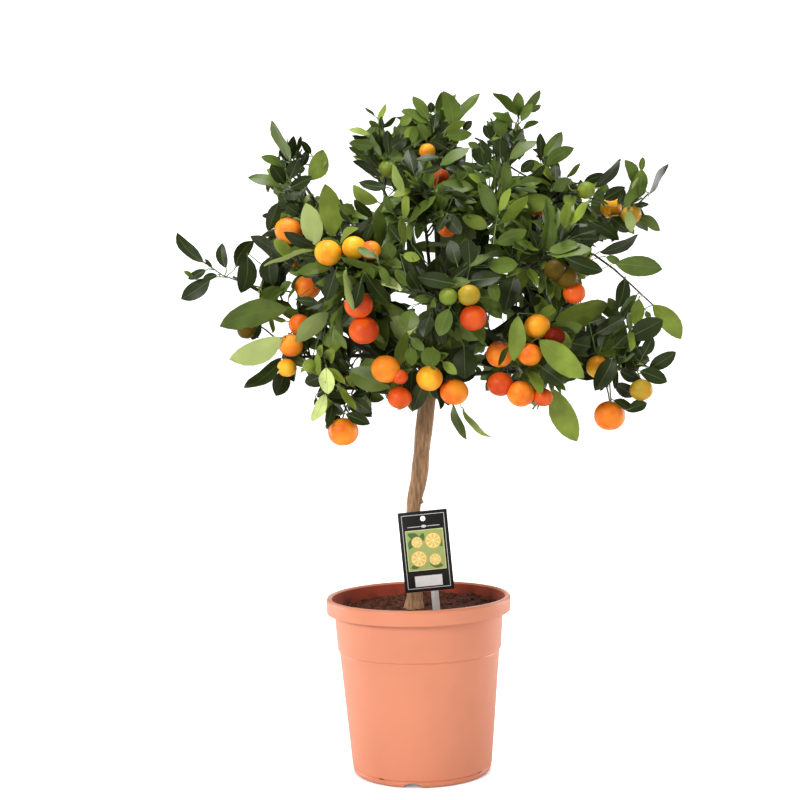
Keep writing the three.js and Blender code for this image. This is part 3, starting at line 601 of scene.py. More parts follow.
def on_view(across, down, depth):
    """The point that the front view shows at a pixel, at a depth along +Y."""
    right, up = across - HALF, HALF - down
    u = right * math.cos(ROLL) + up * math.sin(ROLL)
    v = up * math.cos(ROLL) - right * math.sin(ROLL)
    ahead = math.cos(PITCH) + v / VIEW["focal"] * math.sin(PITCH)
    rise = v / VIEW["focal"] * math.cos(PITCH) - math.sin(PITCH)
    reach = (depth - VIEW_PLACE.y) / ahead
    return VIEW_PLACE + Vector((u / VIEW["focal"], ahead, rise)) * reach


def seen_from_front(points):
    """Where points show in the front view, in its pixels."""
    x, y, z = np.moveaxis(np.asarray(points, float) - np.array(VIEW_PLACE), -1, 0)
    depth = y * math.cos(PITCH) - z * math.sin(PITCH)
    u = VIEW["focal"] * x / depth
    v = VIEW["focal"] * (y * math.sin(PITCH) + z * math.cos(PITCH)) / depth
    across = u * math.cos(ROLL) - v * math.sin(ROLL)
    up = u * math.sin(ROLL) + v * math.cos(ROLL)
    return np.stack([HALF + across, HALF - up], axis=-1)


def inside_edge(seen):
    """True for each spot of the view that lies inside the crown's edge."""
    start = np.array(CROWN_EDGE, float)
    end = np.roll(start, -1, axis=0)
    across, down = seen[:, :1], seen[:, 1:]
    spans = (start[:, 1] > down) != (end[:, 1] > down)
    rise = np.where(end[:, 1] == start[:, 1], 1, end[:, 1] - start[:, 1])
    meets = start[:, 0] + (down - start[:, 1]) * (end[:, 0] - start[:, 0]) / rise
    return (spans & (across < meets)).sum(axis=1) % 2 == 1


def flat_axes(eye):
    """The ways across and down a side's flat view."""
    across = Vector((1, 0, 0)) if eye == TOP else UP.cross(Vector(eye))
    return across, across.cross(Vector(eye))


def seen_from(eye, points):
    """Where points show from the front, or flat from another side in mm."""
    if eye == FRONT:
        return seen_from_front(points)
    off = np.asarray(points, float) - np.array(CROWN_HEART)
    return HALF + off @ np.array(flat_axes(eye)).T


def spot_at(eye, spot, node):
    """The point that shows at a spot, as deep as a node."""
    if eye == FRONT:
        return on_view(*spot, node.y)
    across, down = flat_axes(eye)
    point = across * (spot.x - HALF) + down * (spot.y - HALF)
    return CROWN_HEART + point + Vector(eye) * Vector(eye).dot(node - CROWN_HEART)


def on_side(eye, point):
    return eye == FRONT or Vector(eye).dot(point - CROWN_HEART) > SIDE_DEPTH


def blade_spots(leaf):
    """Points all over a blade, taken as flat."""
    shares, sides = np.linspace(0.06, 0.94, 14), np.linspace(-0.85, 0.85, 7)
    along, aside = np.meshgrid(shares, sides, indexing="ij")
    aside = aside * np.interp(shares, LEAF_STATIONS, LEAF_PROFILE)[:, None]
    root, way = np.array(leaf["root"]), np.array(leaf["way"])
    across = np.cross(np.array(leaf["normal"]), way)
    spots = root + along[..., None] * way * leaf["length"]
    spots = spots + aside[..., None] * across * leaf["width"] / 2
    return spots.reshape(-1, 3)


def mark(cells, seen):
    """Marks each cell of a side's view in which something shows."""
    spots = (seen / CELL).astype(int)
    inside = (spots >= 0).all(axis=1) & (spots < len(cells)).all(axis=1)
    cells[spots[inside, 1], spots[inside, 0]] = True


def leaf_cover(eye, leaves):
    """The cells of a side's view that leaves cover."""
    cells = np.zeros((CELLS, CELLS), bool)
    for leaf in leaves:
        if on_side(eye, leaf["root"]):
            mark(cells, seen_from(eye, blade_spots(leaf)))
    return cells


# ---------------------------------------------------------------- masses and boughs


class Mass:
    """One mass of foliage: its own ellipsoid, cut by the planes midway to the others."""

    def __init__(self, index, name, at, reach, parent, along):
        self.name = name
        self.seed = 1009 * (index + 3)
        self.centre = Vector(at)
        self.radii = Vector(reach)
        self.size = sum(reach) / 3
        self.parent = parent
        self.along = along
        self.planes = []

    def set_planes(self, masses):
        for other in masses:
            if other is not self:
                normal = other.centre - self.centre
                apart = normal.length
                self.planes.append((normal / apart, apart / 2 - SPACE_MARGIN))

    def grow_bough(self, parent, served):
        """A bough leaves its parent's middle line and ends where it enters its mass."""
        start, way = parent.at(self.along), parent.way(self.along)
        outward = (self.centre - start).normalized()
        end = self.centre - outward * self.room_ahead(self.centre, -outward) * BOUGH_ENTRY
        length = (end - start).length
        leave = way.lerp(outward, 0.1 if self.along == 1 else 0.55).normalized()
        controls = [start, start + leave * length * 0.35, end - outward * length * 0.3, end]
        self.limb = bezier(controls, 20)
        self.limb_root = BOUGH_TIP_RADIUS * 1.2 * served ** 0.45

    def limb_radius(self, share):
        """The bough's radius, which flares where it leaves its parent."""
        taper = self.limb_root + (BOUGH_TIP_RADIUS - self.limb_root) * share
        return taper * (1 + 0.35 * math.exp(-share * self.limb.length / 14))

    def scaled(self, vector):
        return Vector(a / b for a, b in zip(vector, self.radii))

    def out(self, way, share):
        """The way to a spot inside the mass, as a share of its reach."""
        return Vector(a * b for a, b in zip(way, self.radii)) * share

    def holds(self, point):
        """True inside the space, which leaves may pass a little, more so towards other masses."""
        offset = point - self.centre
        if Vector(a / (b + PROUD) for a, b in zip(offset, self.radii)).length > 1:
            return False
        return all(n.dot(offset) < distance + MINGLE for n, distance in self.planes)

    def quadratic(self, point, way):
        """The terms of the distances at which a line passes through the ellipsoid."""
        p, d = self.scaled(point - self.centre), self.scaled(way)
        return d.length_squared, p.dot(d), p.length_squared - 1

    def room_ahead(self, point, way):
        a, b, c = self.quadratic(point, way)
        room = (-b + math.sqrt(max(0, b * b - a * c))) / a
        for normal, distance in self.planes:
            speed = normal.dot(way)
            if speed > 0:
                room = min(room, (distance - normal.dot(point - self.centre)) / speed)
        return max(0, room)

    def sight(self, way):
        """How near a line of sight passes, in the ellipsoid's own terms, and where it enters."""
        a, b, c = self.quadratic(VIEW_PLACE, way)
        return c - b * b / a, (-b - math.sqrt(max(0, b * b - a * c))) / a

    def growth_axis(self):
        axis = (self.centre - CROWN_HEART).normalized()
        axis.z += min(0.6, max(-0.45, (self.centre.z - CROWN_HEART.z) / DROOP_REACH))
        return axis.normalized()

    def front(self, right, up):
        """The way from the middle to a spot on the front of the mass."""
        bulge = 1 - (right / self.radii.x) ** 2 - (up / self.radii.z) ** 2
        return Vector((right, -0.75 * self.radii.y * math.sqrt(max(0.12, bulge)), up))


def lay_out_masses(trunk):
    """Every mass with its space and its bough."""
    masses = [Mass(index, *row) for index, row in enumerate(MASSES)]
    limbs = {"trunk": trunk}

    def served(name):
        return 1 + sum(served(mass.name) for mass in masses if mass.parent == name)

    for mass in masses:
        mass.set_planes(masses)
        mass.grow_bough(limbs[mass.parent], served(mass.name))
        limbs[mass.name] = mass.limb
    return masses


# ---------------------------------------------------------------- growth

BACK_OF_FRONT = -20      # fruit nearer the front than this, along Y, show among the leaves
FRUIT_CROWN = 0.46       # how far over its middle a fruit hangs from, of its width
LEAF_ROOM = 7.5          # the least distance between the middles of two leaves
LIMB_ROOM = 1            # the least distance between a leaf and a limb
FRUIT_ROOM = 0.4         # the least distance between a leaf and a fruit
LEAF_TRIES = 8           # ways a leaf is turned, then left out
SHOOT_TRIES = 6          # lengths a shoot is given, then left out
STALK = 3                # the least length of a leaf's stalk
FLAT_LEAF = 0.44         # the width of a standing leaf, of its length
FILL_NODES = 24          # how many nodes are tried for a leaf over a hole
FILL_DISTANCE = 16       # how far from the hole the best node shows
FILL_DEPTH = 0.12        # how much a node's depth in the crown counts against it


class Crown:
    """Everything that grows on the boughs, as plain lists that the meshes are made from."""

    def __init__(self, plant):
        self.leaf_length = plant.leaf_length / MM
        self.leaf_width = plant.leaf_width
        self.node_gap = plant.node_gap / MM
        self.twigs, self.leaves, self.fruits, self.centres = [], [], [], []
        self.sky = np.array(SKY, float)
        self.gaps = self.sky[self.sky[:, 2] > SMALL_GAP]
        trunk = spline(TRUNK_LINE)
        self.masses = lay_out_masses(trunk)
        self.limb_points, self.limb_radii = self.limb_samples(trunk)
        for mass in self.masses:
            self.place_fruits(mass)
        self.fruit_at = np.array([fruit[0] for fruit in self.fruits])
        self.fruit_radius = np.array([fruit[1] / 2 for fruit in self.fruits])
        self.fruit_seen = seen_from_front(self.fruit_at)
        self.plan_front_leaves()
        for mass in self.masses:
            self.grow(mass, plant.shoots)
        self.grow_front_twigs()
        self.grow_front_leaves()
        for eye, tries in ASPECTS:
            self.fill_holes(eye, tries)

    def limb_samples(self, trunk):
        points = [trunk.at(i / 40) for i in range(41)]
        radii = [read_table(TRUNK_RADII, point.z) for point in points]
        for mass in self.masses:
            for i in range(13):
                points.append(mass.limb.at(i / 12))
                radii.append(mass.limb_root + (BOUGH_TIP_RADIUS - mass.limb_root) * i / 12)
        return np.array(points), np.array(radii)

    def place_fruits(self, mass):
        """Fruit on the front keep their place across and up, and follow the mass's front."""
        draw = mass.random = seeded(mass.seed)
        spots = [(mass.front(right, up), width, ripe, True)
                 for right, up, width, ripe in FRUIT.get(mass.name, [])]
        away = (mass.centre - CROWN_HEART).normalized()
        for i in range(HIDDEN_FRUIT.get(mass.name, 0)):
            width = 22 + 8 * draw()
            lean = 0.4 + 0.5 * draw()
            way = leaning(away, lean, i * GOLDEN_ANGLE + FULL_TURN * draw())
            way.z -= 0.4
            spots.append((mass.out(way.normalized(), 0.75), width, RIPENESSES[i % 3], True))
        spots += [(mass.front(right, up), width, ripe, False)
                  for right, up, width, ripe in SMALL_FRUIT.get(mass.name, [])]
        draw = seeded(mass.seed + 17)
        for i in range(SPREAD_FRUIT.get(mass.name, 0)):
            way = leaning(away, 0.3 + 0.9 * draw(), i * 2.1 + FULL_TURN * draw())
            way.y = max(way.y, 0.25)
            ripe = RIPENESSES[int(5 * draw() ** 1.4)]
            spots.append((mass.out(way, 0.7), 16 + 10 * draw(), ripe, True))
        mass.fruits = []
        for offset, width, ripe, kept_in in spots:
            for normal, distance in mass.planes * 2:
                over = normal.dot(offset) + width / 2 + 0.5 - distance
                if over > 0 and kept_in:
                    offset = offset - normal * over
            at = mass.centre + offset
            if at.y <= 0 or not self.covers_gap(np.array([at]), width / 2):
                mass.fruits.append([at, width, ripe, None])
        self.fruits += mass.fruits

    # Tests

    def has_room(self, mass, root, way, length, aside):
        """True if a blade stays in the mass and off everything in it, and then takes its place."""
        middle = root + way * length * 0.5
        points = [root + way * length, middle, middle + aside, middle - aside,
                  root + way * length * 0.75, root + way * length * 0.25, root]
        if not all(mass.holds(point) for point in points):
            return False
        spots = np.array(points)
        away = np.linalg.norm(spots[:, None] - self.limb_points[None], axis=2)
        if (away < self.limb_radii[None] + LIMB_ROOM).any():
            return False
        away = np.linalg.norm(spots[:, None] - self.fruit_at[None], axis=2)
        if (away < self.fruit_radius[None] * 0.97 + FRUIT_ROOM).any():
            return False
        if self.centres:
            near = np.linalg.norm(np.array(self.centres) - spots[1], axis=1)
            if (near < LEAF_ROOM).any():
                return False
        if not self.leaves_view_open(spots):
            return False
        self.centres.append(middle)
        return True

    def leaves_view_open(self, spots):
        """True if the points stay inside the crown's edge and cover no gap, fruit or front leaf."""
        seen = seen_from_front(spots)
        if (np.hypot(*(seen[:, None] - self.sky[:, :2]).T) < self.sky[:, 2:]).any():
            return False
        if not inside_edge(seen[1:]).all():
            return False
        off = np.hypot(*(seen[:, None] - self.blade_discs[:, :2]).T)
        hides = off < self.blade_discs[:, 2:3] + 1
        if (hides & (spots[:, 1] < self.blade_discs[:, 3:] + 3)).any():
            return False
        off = np.hypot(*(seen[:, None] - self.fruit_seen).T)
        shows = self.fruit_at[:, 1:2] < BACK_OF_FRONT
        hides = (off < self.fruit_radius[:, None] * 0.8) & shows
        return not (hides & (spots[:, 1] < np.minimum(-30, self.fruit_at[:, 1:2]))).any()

    def covers_gap(self, points, radius=0):
        """True if a point, with a radius round it, hides much of a wide gap from the front."""
        off = np.hypot(*(seen_from_front(points)[:, None] - self.gaps[:, :2]).T)
        return (off < GAP_KEPT * self.gaps[:, 2:] + radius).any()

    # Shoots and leaves

    def tone_for(self, mass, draw):
        total = 0
        for tone, share in zip(TONES, MASS_TONES.get(mass.name, USUAL_TONES)):
            total += share
            if draw < total:
                return tone
        return TONES[1]

    def leaf_normal(self, root, way, shoot_way, jitter):
        facing = root - CROWN_HEART
        facing.y += 80 if facing.y > 0 else -80
        normal = facing.normalized() + 0.35 * shoot_way + Vector((0, 0, 0.35)) + jitter
        normal -= way * normal.dot(way)
        return normal.normalized()

    def add_leaf(self, mass, path, share, lean, turn, length, tone):
        """A leaf on a shoot, turned on round it until it fits, or left out."""
        shoot_way = path.way(share)
        draw = mass.random
        jitter = random_offset(draw) * 1.3
        for attempt in range(LEAF_TRIES):
            way = leaning(shoot_way, lean, turn + (attempt // 2) * 1.3)
            way.z -= 0.1
            way.normalize()
            long = length * (SMALLEST_LEAF if attempt % 2 else 1)
            root = path.at(share) + way * (STALK + 0.06 * long)
            normal = self.leaf_normal(root, way, shoot_way, jitter)
            aside = normal.cross(way) * (self.leaf_width * long / 2) * 0.8
            if self.has_room(mass, root, way, long, aside):
                self.keep_leaf(path.at(share), root, way, normal, long, tone, draw)
                return

    def keep_leaf(self, node, root, way, normal, length, tone, draw, width=None, bow=None):
        """Adds a leaf and its stalk. A leaf with a bow stands out, and bends and folds less."""
        spread = 0.88 + 0.26 * draw()
        calm = 1 if bow is None else 0.35
        leaf = {
            "root": root, "way": way, "normal": normal, "length": length,
            "width": width or self.leaf_width * length * spread,
            "fold": calm * (0.12 + 0.5 * draw()), "curl": calm * (0.04 + 0.26 * draw()),
            "twist": calm * 0.7 * (draw() - 0.5), "wave": draw(), "tone": tone, "bow": bow,
        }
        if bow is None and self.covers_gap(blade_spots(leaf)):
            return False
        self.leaves.append(leaf)
        bend = node.lerp(root, 0.5) - normal * 0.8
        self.twigs.append((Path([node, bend, root + way * 2]), 0.75, 0.5, "stalk"))
        return True

    def grow_shoot(self, mass, path, leafy_from, thick):
        """A twig with leaves in a spiral along it, and a rosette at its tip."""
        draw = mass.random
        self.twigs.append((path, thick, 0.8, "shoot"))
        mass.lines.append(path)
        tone = self.tone_for(mass, draw())
        turn = FULL_TURN * draw()
        nodes = max(3, int(path.length * (1 - leafy_from) / self.node_gap) + 3)
        for i in range(nodes):
            share = 1 - (1 - leafy_from) * (i / nodes) ** 1.25
            lean = 0.22 + 0.62 * min(1, i / 4) + 0.3 * (draw() - 0.5)
            length = self.leaf_length * (0.72 + 0.56 * draw())
            if i == 0:
                length *= 0.85
            here = tone if draw() < 0.8 else self.tone_for(mass, draw())
            self.add_leaf(mass, path, share, lean, turn + i * GOLDEN_ANGLE, length, here)

    def grow_stem(self, mass, axis):
        """A stem from the bough's tip, as far as it stays inside the crown's edge."""
        foot = mass.limb.at(1)
        top = mass.centre + axis * mass.size * 0.2
        for _ in range(SHOOT_TRIES):
            stem = bezier([foot, mass.centre.lerp(foot, 0.45), top], 10)
            if inside_edge(seen_from_front([stem.at(0.6), stem.at(0.8), top])).all():
                break
            top = foot.lerp(top, 0.8)
        self.twigs.append((stem, BOUGH_TIP_RADIUS, 1.1, "stem"))
        return stem

    def grow(self, mass, usual_shoots):
        """One stem from the bough's tip, twigs to its fruit, and shoots that fill its space."""
        axis = mass.growth_axis()
        stem = self.grow_stem(mass, axis)
        mass.lines = [stem]
        for i, fruit in enumerate(mass.fruits):
            start = stem.at(0.25 + 0.6 * i / len(mass.fruits))
            crown = fruit[0] + Vector((0, 0, fruit[1] * FRUIT_CROWN))
            hang = crown + Vector((0, 4, 9))
            path = bezier([start, start.lerp(hang, 0.6) + Vector((0, 0, 5)), hang, crown], 8)
            self.grow_shoot(mass, path, 0.35, 1.1)
            fruit[3] = path.at(0.9)
        phase = FULL_TURN * mass.random()
        shoots = round(usual_shoots * MASS_SHOOTS.get(mass.name, 1))
        for k in range(shoots):
            level = 1 - 2 * (k + 0.5) / shoots
            ring = math.sqrt(1 - level * level)
            turn = phase + k * GOLDEN_ANGLE
            way = Vector((ring * math.cos(turn), ring * math.sin(turn), level))
            way = (way + 0.4 * axis).normalized()
            reach = max(8, mass.room_ahead(mass.centre, way) - 0.6 * self.leaf_length)
            share = min(0.95, max(0.1, 0.55 + 0.45 * way.dot(axis)))
            start = stem.at(share)
            leave = (stem.way(share) + way).normalized()
            for _ in range(SHOOT_TRIES):
                end = mass.centre + way * reach
                path = bezier([start, start + leave * (end - start).length * 0.4, end], 6)
                if self.leaves_view_open(np.array([path.at(i / 8) for i in range(8, 2, -1)])):
                    self.grow_shoot(mass, path, 0.3, 1.25)
                    break
                reach *= 0.82

    # Leaves and twigs that stand out

    def front_depth(self, across, down):
        """How far along +Y the crown begins at a spot of the view."""
        way = (on_view(across, down, 0) - VIEW_PLACE).normalized()
        sights = [mass.sight(way) for mass in self.masses]
        hits = [reach for miss, reach in sights if miss <= 0]
        reach = min(hits) if hits else min(sights)[1]
        return (VIEW_PLACE + way * reach).y

    def blade_depth(self, ends, wide, lift, middle, seen_long):
        """How deep a standing leaf goes: before those planned so far, and clear of fruit."""
        x0, y0, x1, y1 = ends
        depth = self.front_depth(*middle) + 9 - lift
        for blade in self.blades:
            apart = (blade["middle"] - middle).length
            if apart < 0.35 * (blade["seen_long"] + seen_long):
                depth = min(depth, blade["depth"] - 3.5)
        for at, radius, seen in zip(self.fruit_at, self.fruit_radius, self.fruit_seen):
            apart = min(math.hypot(x0 + (x1 - x0) * t - seen[0], y0 + (y1 - y0) * t - seen[1])
                        for t in (0.2, 0.5, 0.8))
            if at[1] < BACK_OF_FRONT and apart < 0.8 * radius + 0.3 * wide:
                depth = min(depth, at[1] - radius - 3) if lift else max(depth, at[1] + radius)
        return depth

    def plan_front_leaves(self):
        """Works out each standing leaf's place, before the rest leaves it room."""
        self.blades = []
        draw = seeded(7001)
        for row in FRONT_LEAVES:
            x0, y0, x1, y1, wide, tone, lift, bow = (*row, 0, 0)[:8]
            middle = Vector(((x0 + x1) / 2, (y0 + y1) / 2))
            seen_long = math.hypot(x1 - x0, y1 - y0)
            depth = self.blade_depth(row[:4], wide, lift, middle, seen_long)
            tilt = 0.8 * (draw() - 0.35)
            scale = (on_view(x1, y1, depth) - on_view(x0, y0, depth)).length / seen_long
            swing = seen_long * scale * math.tan(tilt) / 2
            root, tip = on_view(x0, y0, depth + swing), on_view(x1, y1, depth - swing)
            length = (tip - root).length
            shows, usual = wide * scale, FLAT_LEAF * length
            roll = math.acos(shows / usual) if shows < 0.9 * usual else 0.2
            self.blades.append({
                "middle": middle, "seen_long": seen_long, "depth": depth, "root": root,
                "tip": tip, "length": length, "width": max(usual, shows / math.cos(0.2)),
                "roll": min(roll, 1.4) * (1 if draw() < 0.5 else -1), "tone": tone,
                "wide": wide, "bow": bow * scale,
            })
        discs = []
        for blade in self.blades:
            way = (blade["tip"] - blade["root"]).normalized()
            to_eye = (VIEW_PLACE - blade["root"]).normalized()
            blade["bow"] *= to_eye.cross(way).normalized()
            for share, part in ((0.1, 0.5), (0.3, 0.9), (0.5, 1), (0.7, 0.9), (0.9, 0.5)):
                spot = blade["root"].lerp(blade["tip"], share)
                spot += blade["bow"] * 4 * share * (1 - share)
                discs.append((*seen_from_front(spot), blade["wide"] * part / 2, spot.y))
        self.blade_discs = np.array(discs)

    def grow_front_twigs(self):
        """Twigs that show, each from the nearest line of its mass."""
        named = {mass.name: mass for mass in self.masses}
        for name, thick, thin, kind, seen in FRONT_TWIGS:
            mass = named[name]
            nodes = [line.at(i / 8) for line in [mass.limb, *mass.lines] for i in range(9)]
            first = Vector(seen[0])
            node = min(nodes, key=lambda node: (Vector(seen_from_front(node)) - first).length)
            end = self.front_depth(*seen[-1]) + 12
            points = [on_view(*spot, node.y + (end - node.y) * (i + 1) / len(seen))
                      for i, spot in enumerate(seen)]
            path = spline([node, *points], 5)
            self.twigs.append((path, thick, thin, kind))
            mass.lines.append(path)

    def grow_front_leaves(self):
        nodes = [line.at(i / 10) for mass in self.masses for line in mass.lines
                 for i in range(11)]
        spots = np.array(nodes)
        draw = seeded(7001)
        for blade in self.blades:
            root, tone = blade["root"], blade["tone"]
            way = (blade["tip"] - root).normalized()
            to_eye = (VIEW_PLACE - root).normalized()
            normal = (to_eye - way * to_eye.dot(way)).normalized()
            normal = Matrix.Rotation(blade["roll"], 3, way) @ normal
            if tone == "pale":
                normal = -normal
            back = root - way * STALK
            node = nodes[int(np.argmin(np.linalg.norm(spots - np.array(back), axis=1)))]
            self.keep_leaf(back, root, way, normal, blade["length"], tone, draw, blade["width"],
                           blade["bow"])
            path = bezier([node, node.lerp(back, 0.6) + Vector((0, 6, 0)), back], 6)
            self.twigs.append((path, 0.7, 0.5, "stalk"))

    # Leaves where the crown would show through by chance

    def cover_fruit(self, cells, eye):
        turns = np.linspace(0, FULL_TURN, 25)
        for at, radius in zip(self.fruit_at, self.fruit_radius):
            if on_side(eye, Vector(at)):
                for out in np.arange(0, radius * 0.9, 2):
                    ring = np.stack([np.cos(turns), np.sin(turns)], axis=1) * out
                    mark(cells, seen_from(eye, at) + ring)

    def closed_part(self, eye, seen):
        """True for each spot where the crown should be closed, seen from one side."""
        if eye == FRONT:
            off = np.hypot(*(seen[:, None] - self.sky[:, :2]).T)
            return inside_edge(seen) & ~(off < self.sky[:, 2:] + 1.5).any(axis=0)
        closed = np.zeros(len(seen), bool)
        for mass in self.masses:
            if on_side(eye, mass.centre):
                reach = [abs(axis.dot(mass.radii)) for axis in flat_axes(eye)]
                off = (seen - seen_from(eye, mass.centre)) / reach
                closed |= np.hypot(*off.T) < 0.9
        return closed

    def fill_holes(self, eye, tries):
        """Adds leaves behind the others wherever one side has an unwanted hole, mostly dark leaves as
        painted shade for the crown's inside.
        """
        cells = leaf_cover(eye, self.leaves)
        self.cover_fruit(cells, eye)
        down, across = np.mgrid[:CELLS, :CELLS] * CELL + CELL / 2
        seen = np.stack([across.ravel(), down.ravel()], axis=1)
        bare = self.closed_part(eye, seen).reshape(CELLS, CELLS) & ~cells
        places = [(line.at(i / 8), mass) for mass in self.masses for line in mass.lines
                  for i in range(9)]
        places = [(node, mass) for node, mass in places if on_side(eye, node)]
        nodes = np.array([node for node, _ in places])
        node_seen = seen_from(eye, nodes)
        depth = np.abs((nodes - np.array(CROWN_HEART)) @ np.array(eye))
        draw = seeded(5501)
        for _ in range(tries):
            padded = np.pad(bare.astype(int), 2)
            near = sum(padded[i:i + CELLS, j:j + CELLS] for i in range(5) for j in range(5))
            near *= bare
            row, column = np.unravel_index(int(near.argmax()), near.shape)
            if near[row, column] < FILL_LEAST:
                break
            spot = Vector(((column + 0.5) * CELL, (row + 0.5) * CELL))
            shown = np.hypot(*(node_seen - np.array(spot)).T)
            off = np.abs(shown - FILL_DISTANCE) + FILL_DEPTH * depth
            for index in np.argsort(off)[:FILL_NODES]:
                if self.fill_leaf(eye, *places[index], spot, draw):
                    bare &= ~leaf_cover(eye, self.leaves[-1:])
                    break
            bare[max(0, row - 1):row + 2, max(0, column - 1):column + 2] = False

    def fill_leaf(self, eye, node, mass, spot, draw):
        """A leaf that reaches from a node over a spot of the view, if there is room for it."""
        target = spot_at(eye, spot, node)
        reach = (target - node).length
        if reach < 5:
            return False
        way = (target - node) / reach
        for scale in (1, 0.75, 0.55):
            length = self.leaf_length * (0.8 + 0.3 * draw()) * scale
            root = node + way * max(STALK, reach - length / 2)
            normal = Vector(eye) + UP * 0.35 + random_offset(draw) * 0.8
            normal = (normal - way * normal.dot(way)).normalized()
            aside = normal.cross(way) * self.leaf_width * length * 0.4
            if self.has_room(mass, root, way, length, aside):
                # Mostly dark: painted shade for the inside of the crown.
                tone = "dark" if draw() < 0.6 else "mid"
                if self.keep_leaf(node, root, way, normal, length, tone, draw):
                    return True
        return False


# ---------------------------------------------------------------- meshes


def as_mesh(bm, name):
    mesh = bpy.data.meshes.new(name)
    bm.to_mesh(mesh)
    bm.free()
    return mesh


def into_object(shape, name, materials, smooth=True, sharp=None):
    """Makes a mesh or bmesh in metres an object at the origin that rides on the part."""
    mesh = as_mesh(shape, name) if isinstance(shape, bmesh.types.BMesh) else shape
    for material in materials:
        mesh.materials.append(material)
    if smooth:
        mesh.shade_smooth()
    else:
        mesh.shade_flat()
    if sharp is not None:
        mesh.set_sharp_from_angle(angle=math.radians(sharp))
    piece = bpy.data.objects.new(name, mesh)
    bpy.context.scene.collection.objects.link(piece)
    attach(piece, BODY)
    return piece


def joined_object(name, parts, materials, **finish):
    """One piece from many small parts in mm: points, faces, and one slot or each face's own."""
    points, faces, slots = [], [], []
    offset = 0
    for part_points, part_faces, slot in parts:
        points.append(part_points)
        faces.extend(tuple(i + offset for i in face) for face in part_faces)
        slots.extend([slot] * len(part_faces) if isinstance(slot, int) else slot)
        offset += len(part_points)
    mesh = bpy.data.meshes.new(name)
    mesh.from_pydata((np.concatenate(points) * MM).tolist(), [], faces)
    mesh.polygons.foreach_set("material_index", np.array(slots, np.int32))
    mesh.update()
    return into_object(mesh, name, materials, **finish)


def thicken(bm, outline, thickness):
    """A closed outline of points made a plate along Y, all its vertices given back."""
    verts = [bm.verts.new(point) for point in outline]
    made = bmesh.ops.extrude_face_region(bm, geom=[bm.faces.new(verts)])["geom"]
    moved = [item for item in made if isinstance(item, bmesh.types.BMVert)]
    bmesh.ops.translate(bm, verts=moved, vec=(0, thickness, 0))
    return verts + moved


def cross_frames(path, steps):
    """Points along a path with two directions across it, carried on without a twist."""
    side = path.way(0).orthogonal()
    rings = []
    for i in range(steps + 1):
        way = path.way(min(i / steps, 0.999))
        side = (side - way * side.dot(way)).normalized()
        rings.append((path.at(i / steps), side, way.cross(side)))
    return rings


def sweep(bm, path, radius_at, sides, steps, relief):
    """A closed limb along a path: a grid is rolled up round it, welded and capped."""
    made = bmesh.ops.create_grid(bm, x_segments=sides, y_segments=steps, size=1)["verts"]
    rings = cross_frames(path, steps)
    for vert in made:
        turn = (vert.co.x + 1) / 2 * FULL_TURN
        row = round((vert.co.y + 1) / 2 * steps)
        point, side, other = rings[row]
        outward = side * math.cos(turn) + other * math.sin(turn)
        radius = radius_at(row / steps)
        radius += relief(point + outward * radius)
        vert.co = (point + outward * radius) * MM
    edges = {edge for vert in made for edge in vert.link_edges}
    seam = [vert for vert in made if vert.is_boundary]
    bmesh.ops.remove_doubles(bm, verts=seam, dist=1e-7)
    open_edges = [edge for edge in edges if edge.is_valid and edge.is_boundary]
    bmesh.ops.holes_fill(bm, edges=open_edges, sides=0)


def tube(path, root, tip, sides, steps):
    """A small tapering twig as points and faces, closed at both ends."""
    turns = [FULL_TURN * k / sides for k in range(sides)]
    points = []
    for i, (point, side, other) in enumerate(cross_frames(path, steps)):
        radius = root + (tip - root) * i / steps
        for turn in turns:
            points.append(point + (side * math.cos(turn) + other * math.sin(turn)) * radius)
    faces = []
    for low in range(0, steps * sides, sides):
        for k in range(sides):
            after = (k + 1) % sides
            faces.append((low + k, low + after, low + sides + after, low + sides + k))
    faces.append(tuple(range(sides))[::-1])
    faces.append(tuple(steps * sides + k for k in range(sides)))
    return np.array(points), faces


def template_of(bm):
    """A small shape's points and faces, and the bmesh is let go."""
    points = np.array([vert.co[:] for vert in bm.verts])
    faces = [tuple(vert.index for vert in face.verts) for face in bm.faces]
    bm.free()
    return points, faces


# ---------------------------------------------------------------- shader effects


def feed(tree, socket, value):
    """Links another node's output to a socket, or sets the socket to a value."""
    if isinstance(value, bpy.types.NodeSocket):
        tree.links.new(value, socket)
    else:
        socket.default_value = value


def add(tree, kind, *first, **named):
    """Adds a shader node and gives its outputs. A name in capitals is an input, others options."""
    node = tree.nodes.new(f"ShaderNode{kind}")
    for key in [key for key in named if key.islower()]:
        setattr(node, key, named.pop(key))
    for index, value in enumerate(first):
        feed(tree, node.inputs[index], value)
    for key, value in named.items():
        feed(tree, node.inputs[key.replace("_", " ")], value)
    return node.outputs


def math_node(tree, operation, *values):
    return add(tree, "Math", *values, operation=operation)["Value"]


def mixed(tree, factor, first, second):
    return add(tree, "Mix", data_type="RGBA", Factor=factor, A=first, B=second)["Result"]


def new_group(name, inputs, outputs):
    """A shared effect, the sockets it is given and the ones it fills."""
    group = bpy.data.node_groups.new(name, "ShaderNodeTree")
    for label, value in inputs.items():
        kind = "NodeSocketColor" if isinstance(value, tuple) else "NodeSocketFloat"
        socket = group.interface.new_socket(name=label, in_out="INPUT", socket_type=kind)
        socket.default_value = value
    for label, kind in outputs.items():
        group.interface.new_socket(name=label, in_out="OUTPUT", socket_type=f"NodeSocket{kind}")
    given = group.nodes.new("NodeGroupInput").outputs
    return group, given, group.nodes.new("NodeGroupOutput").inputs


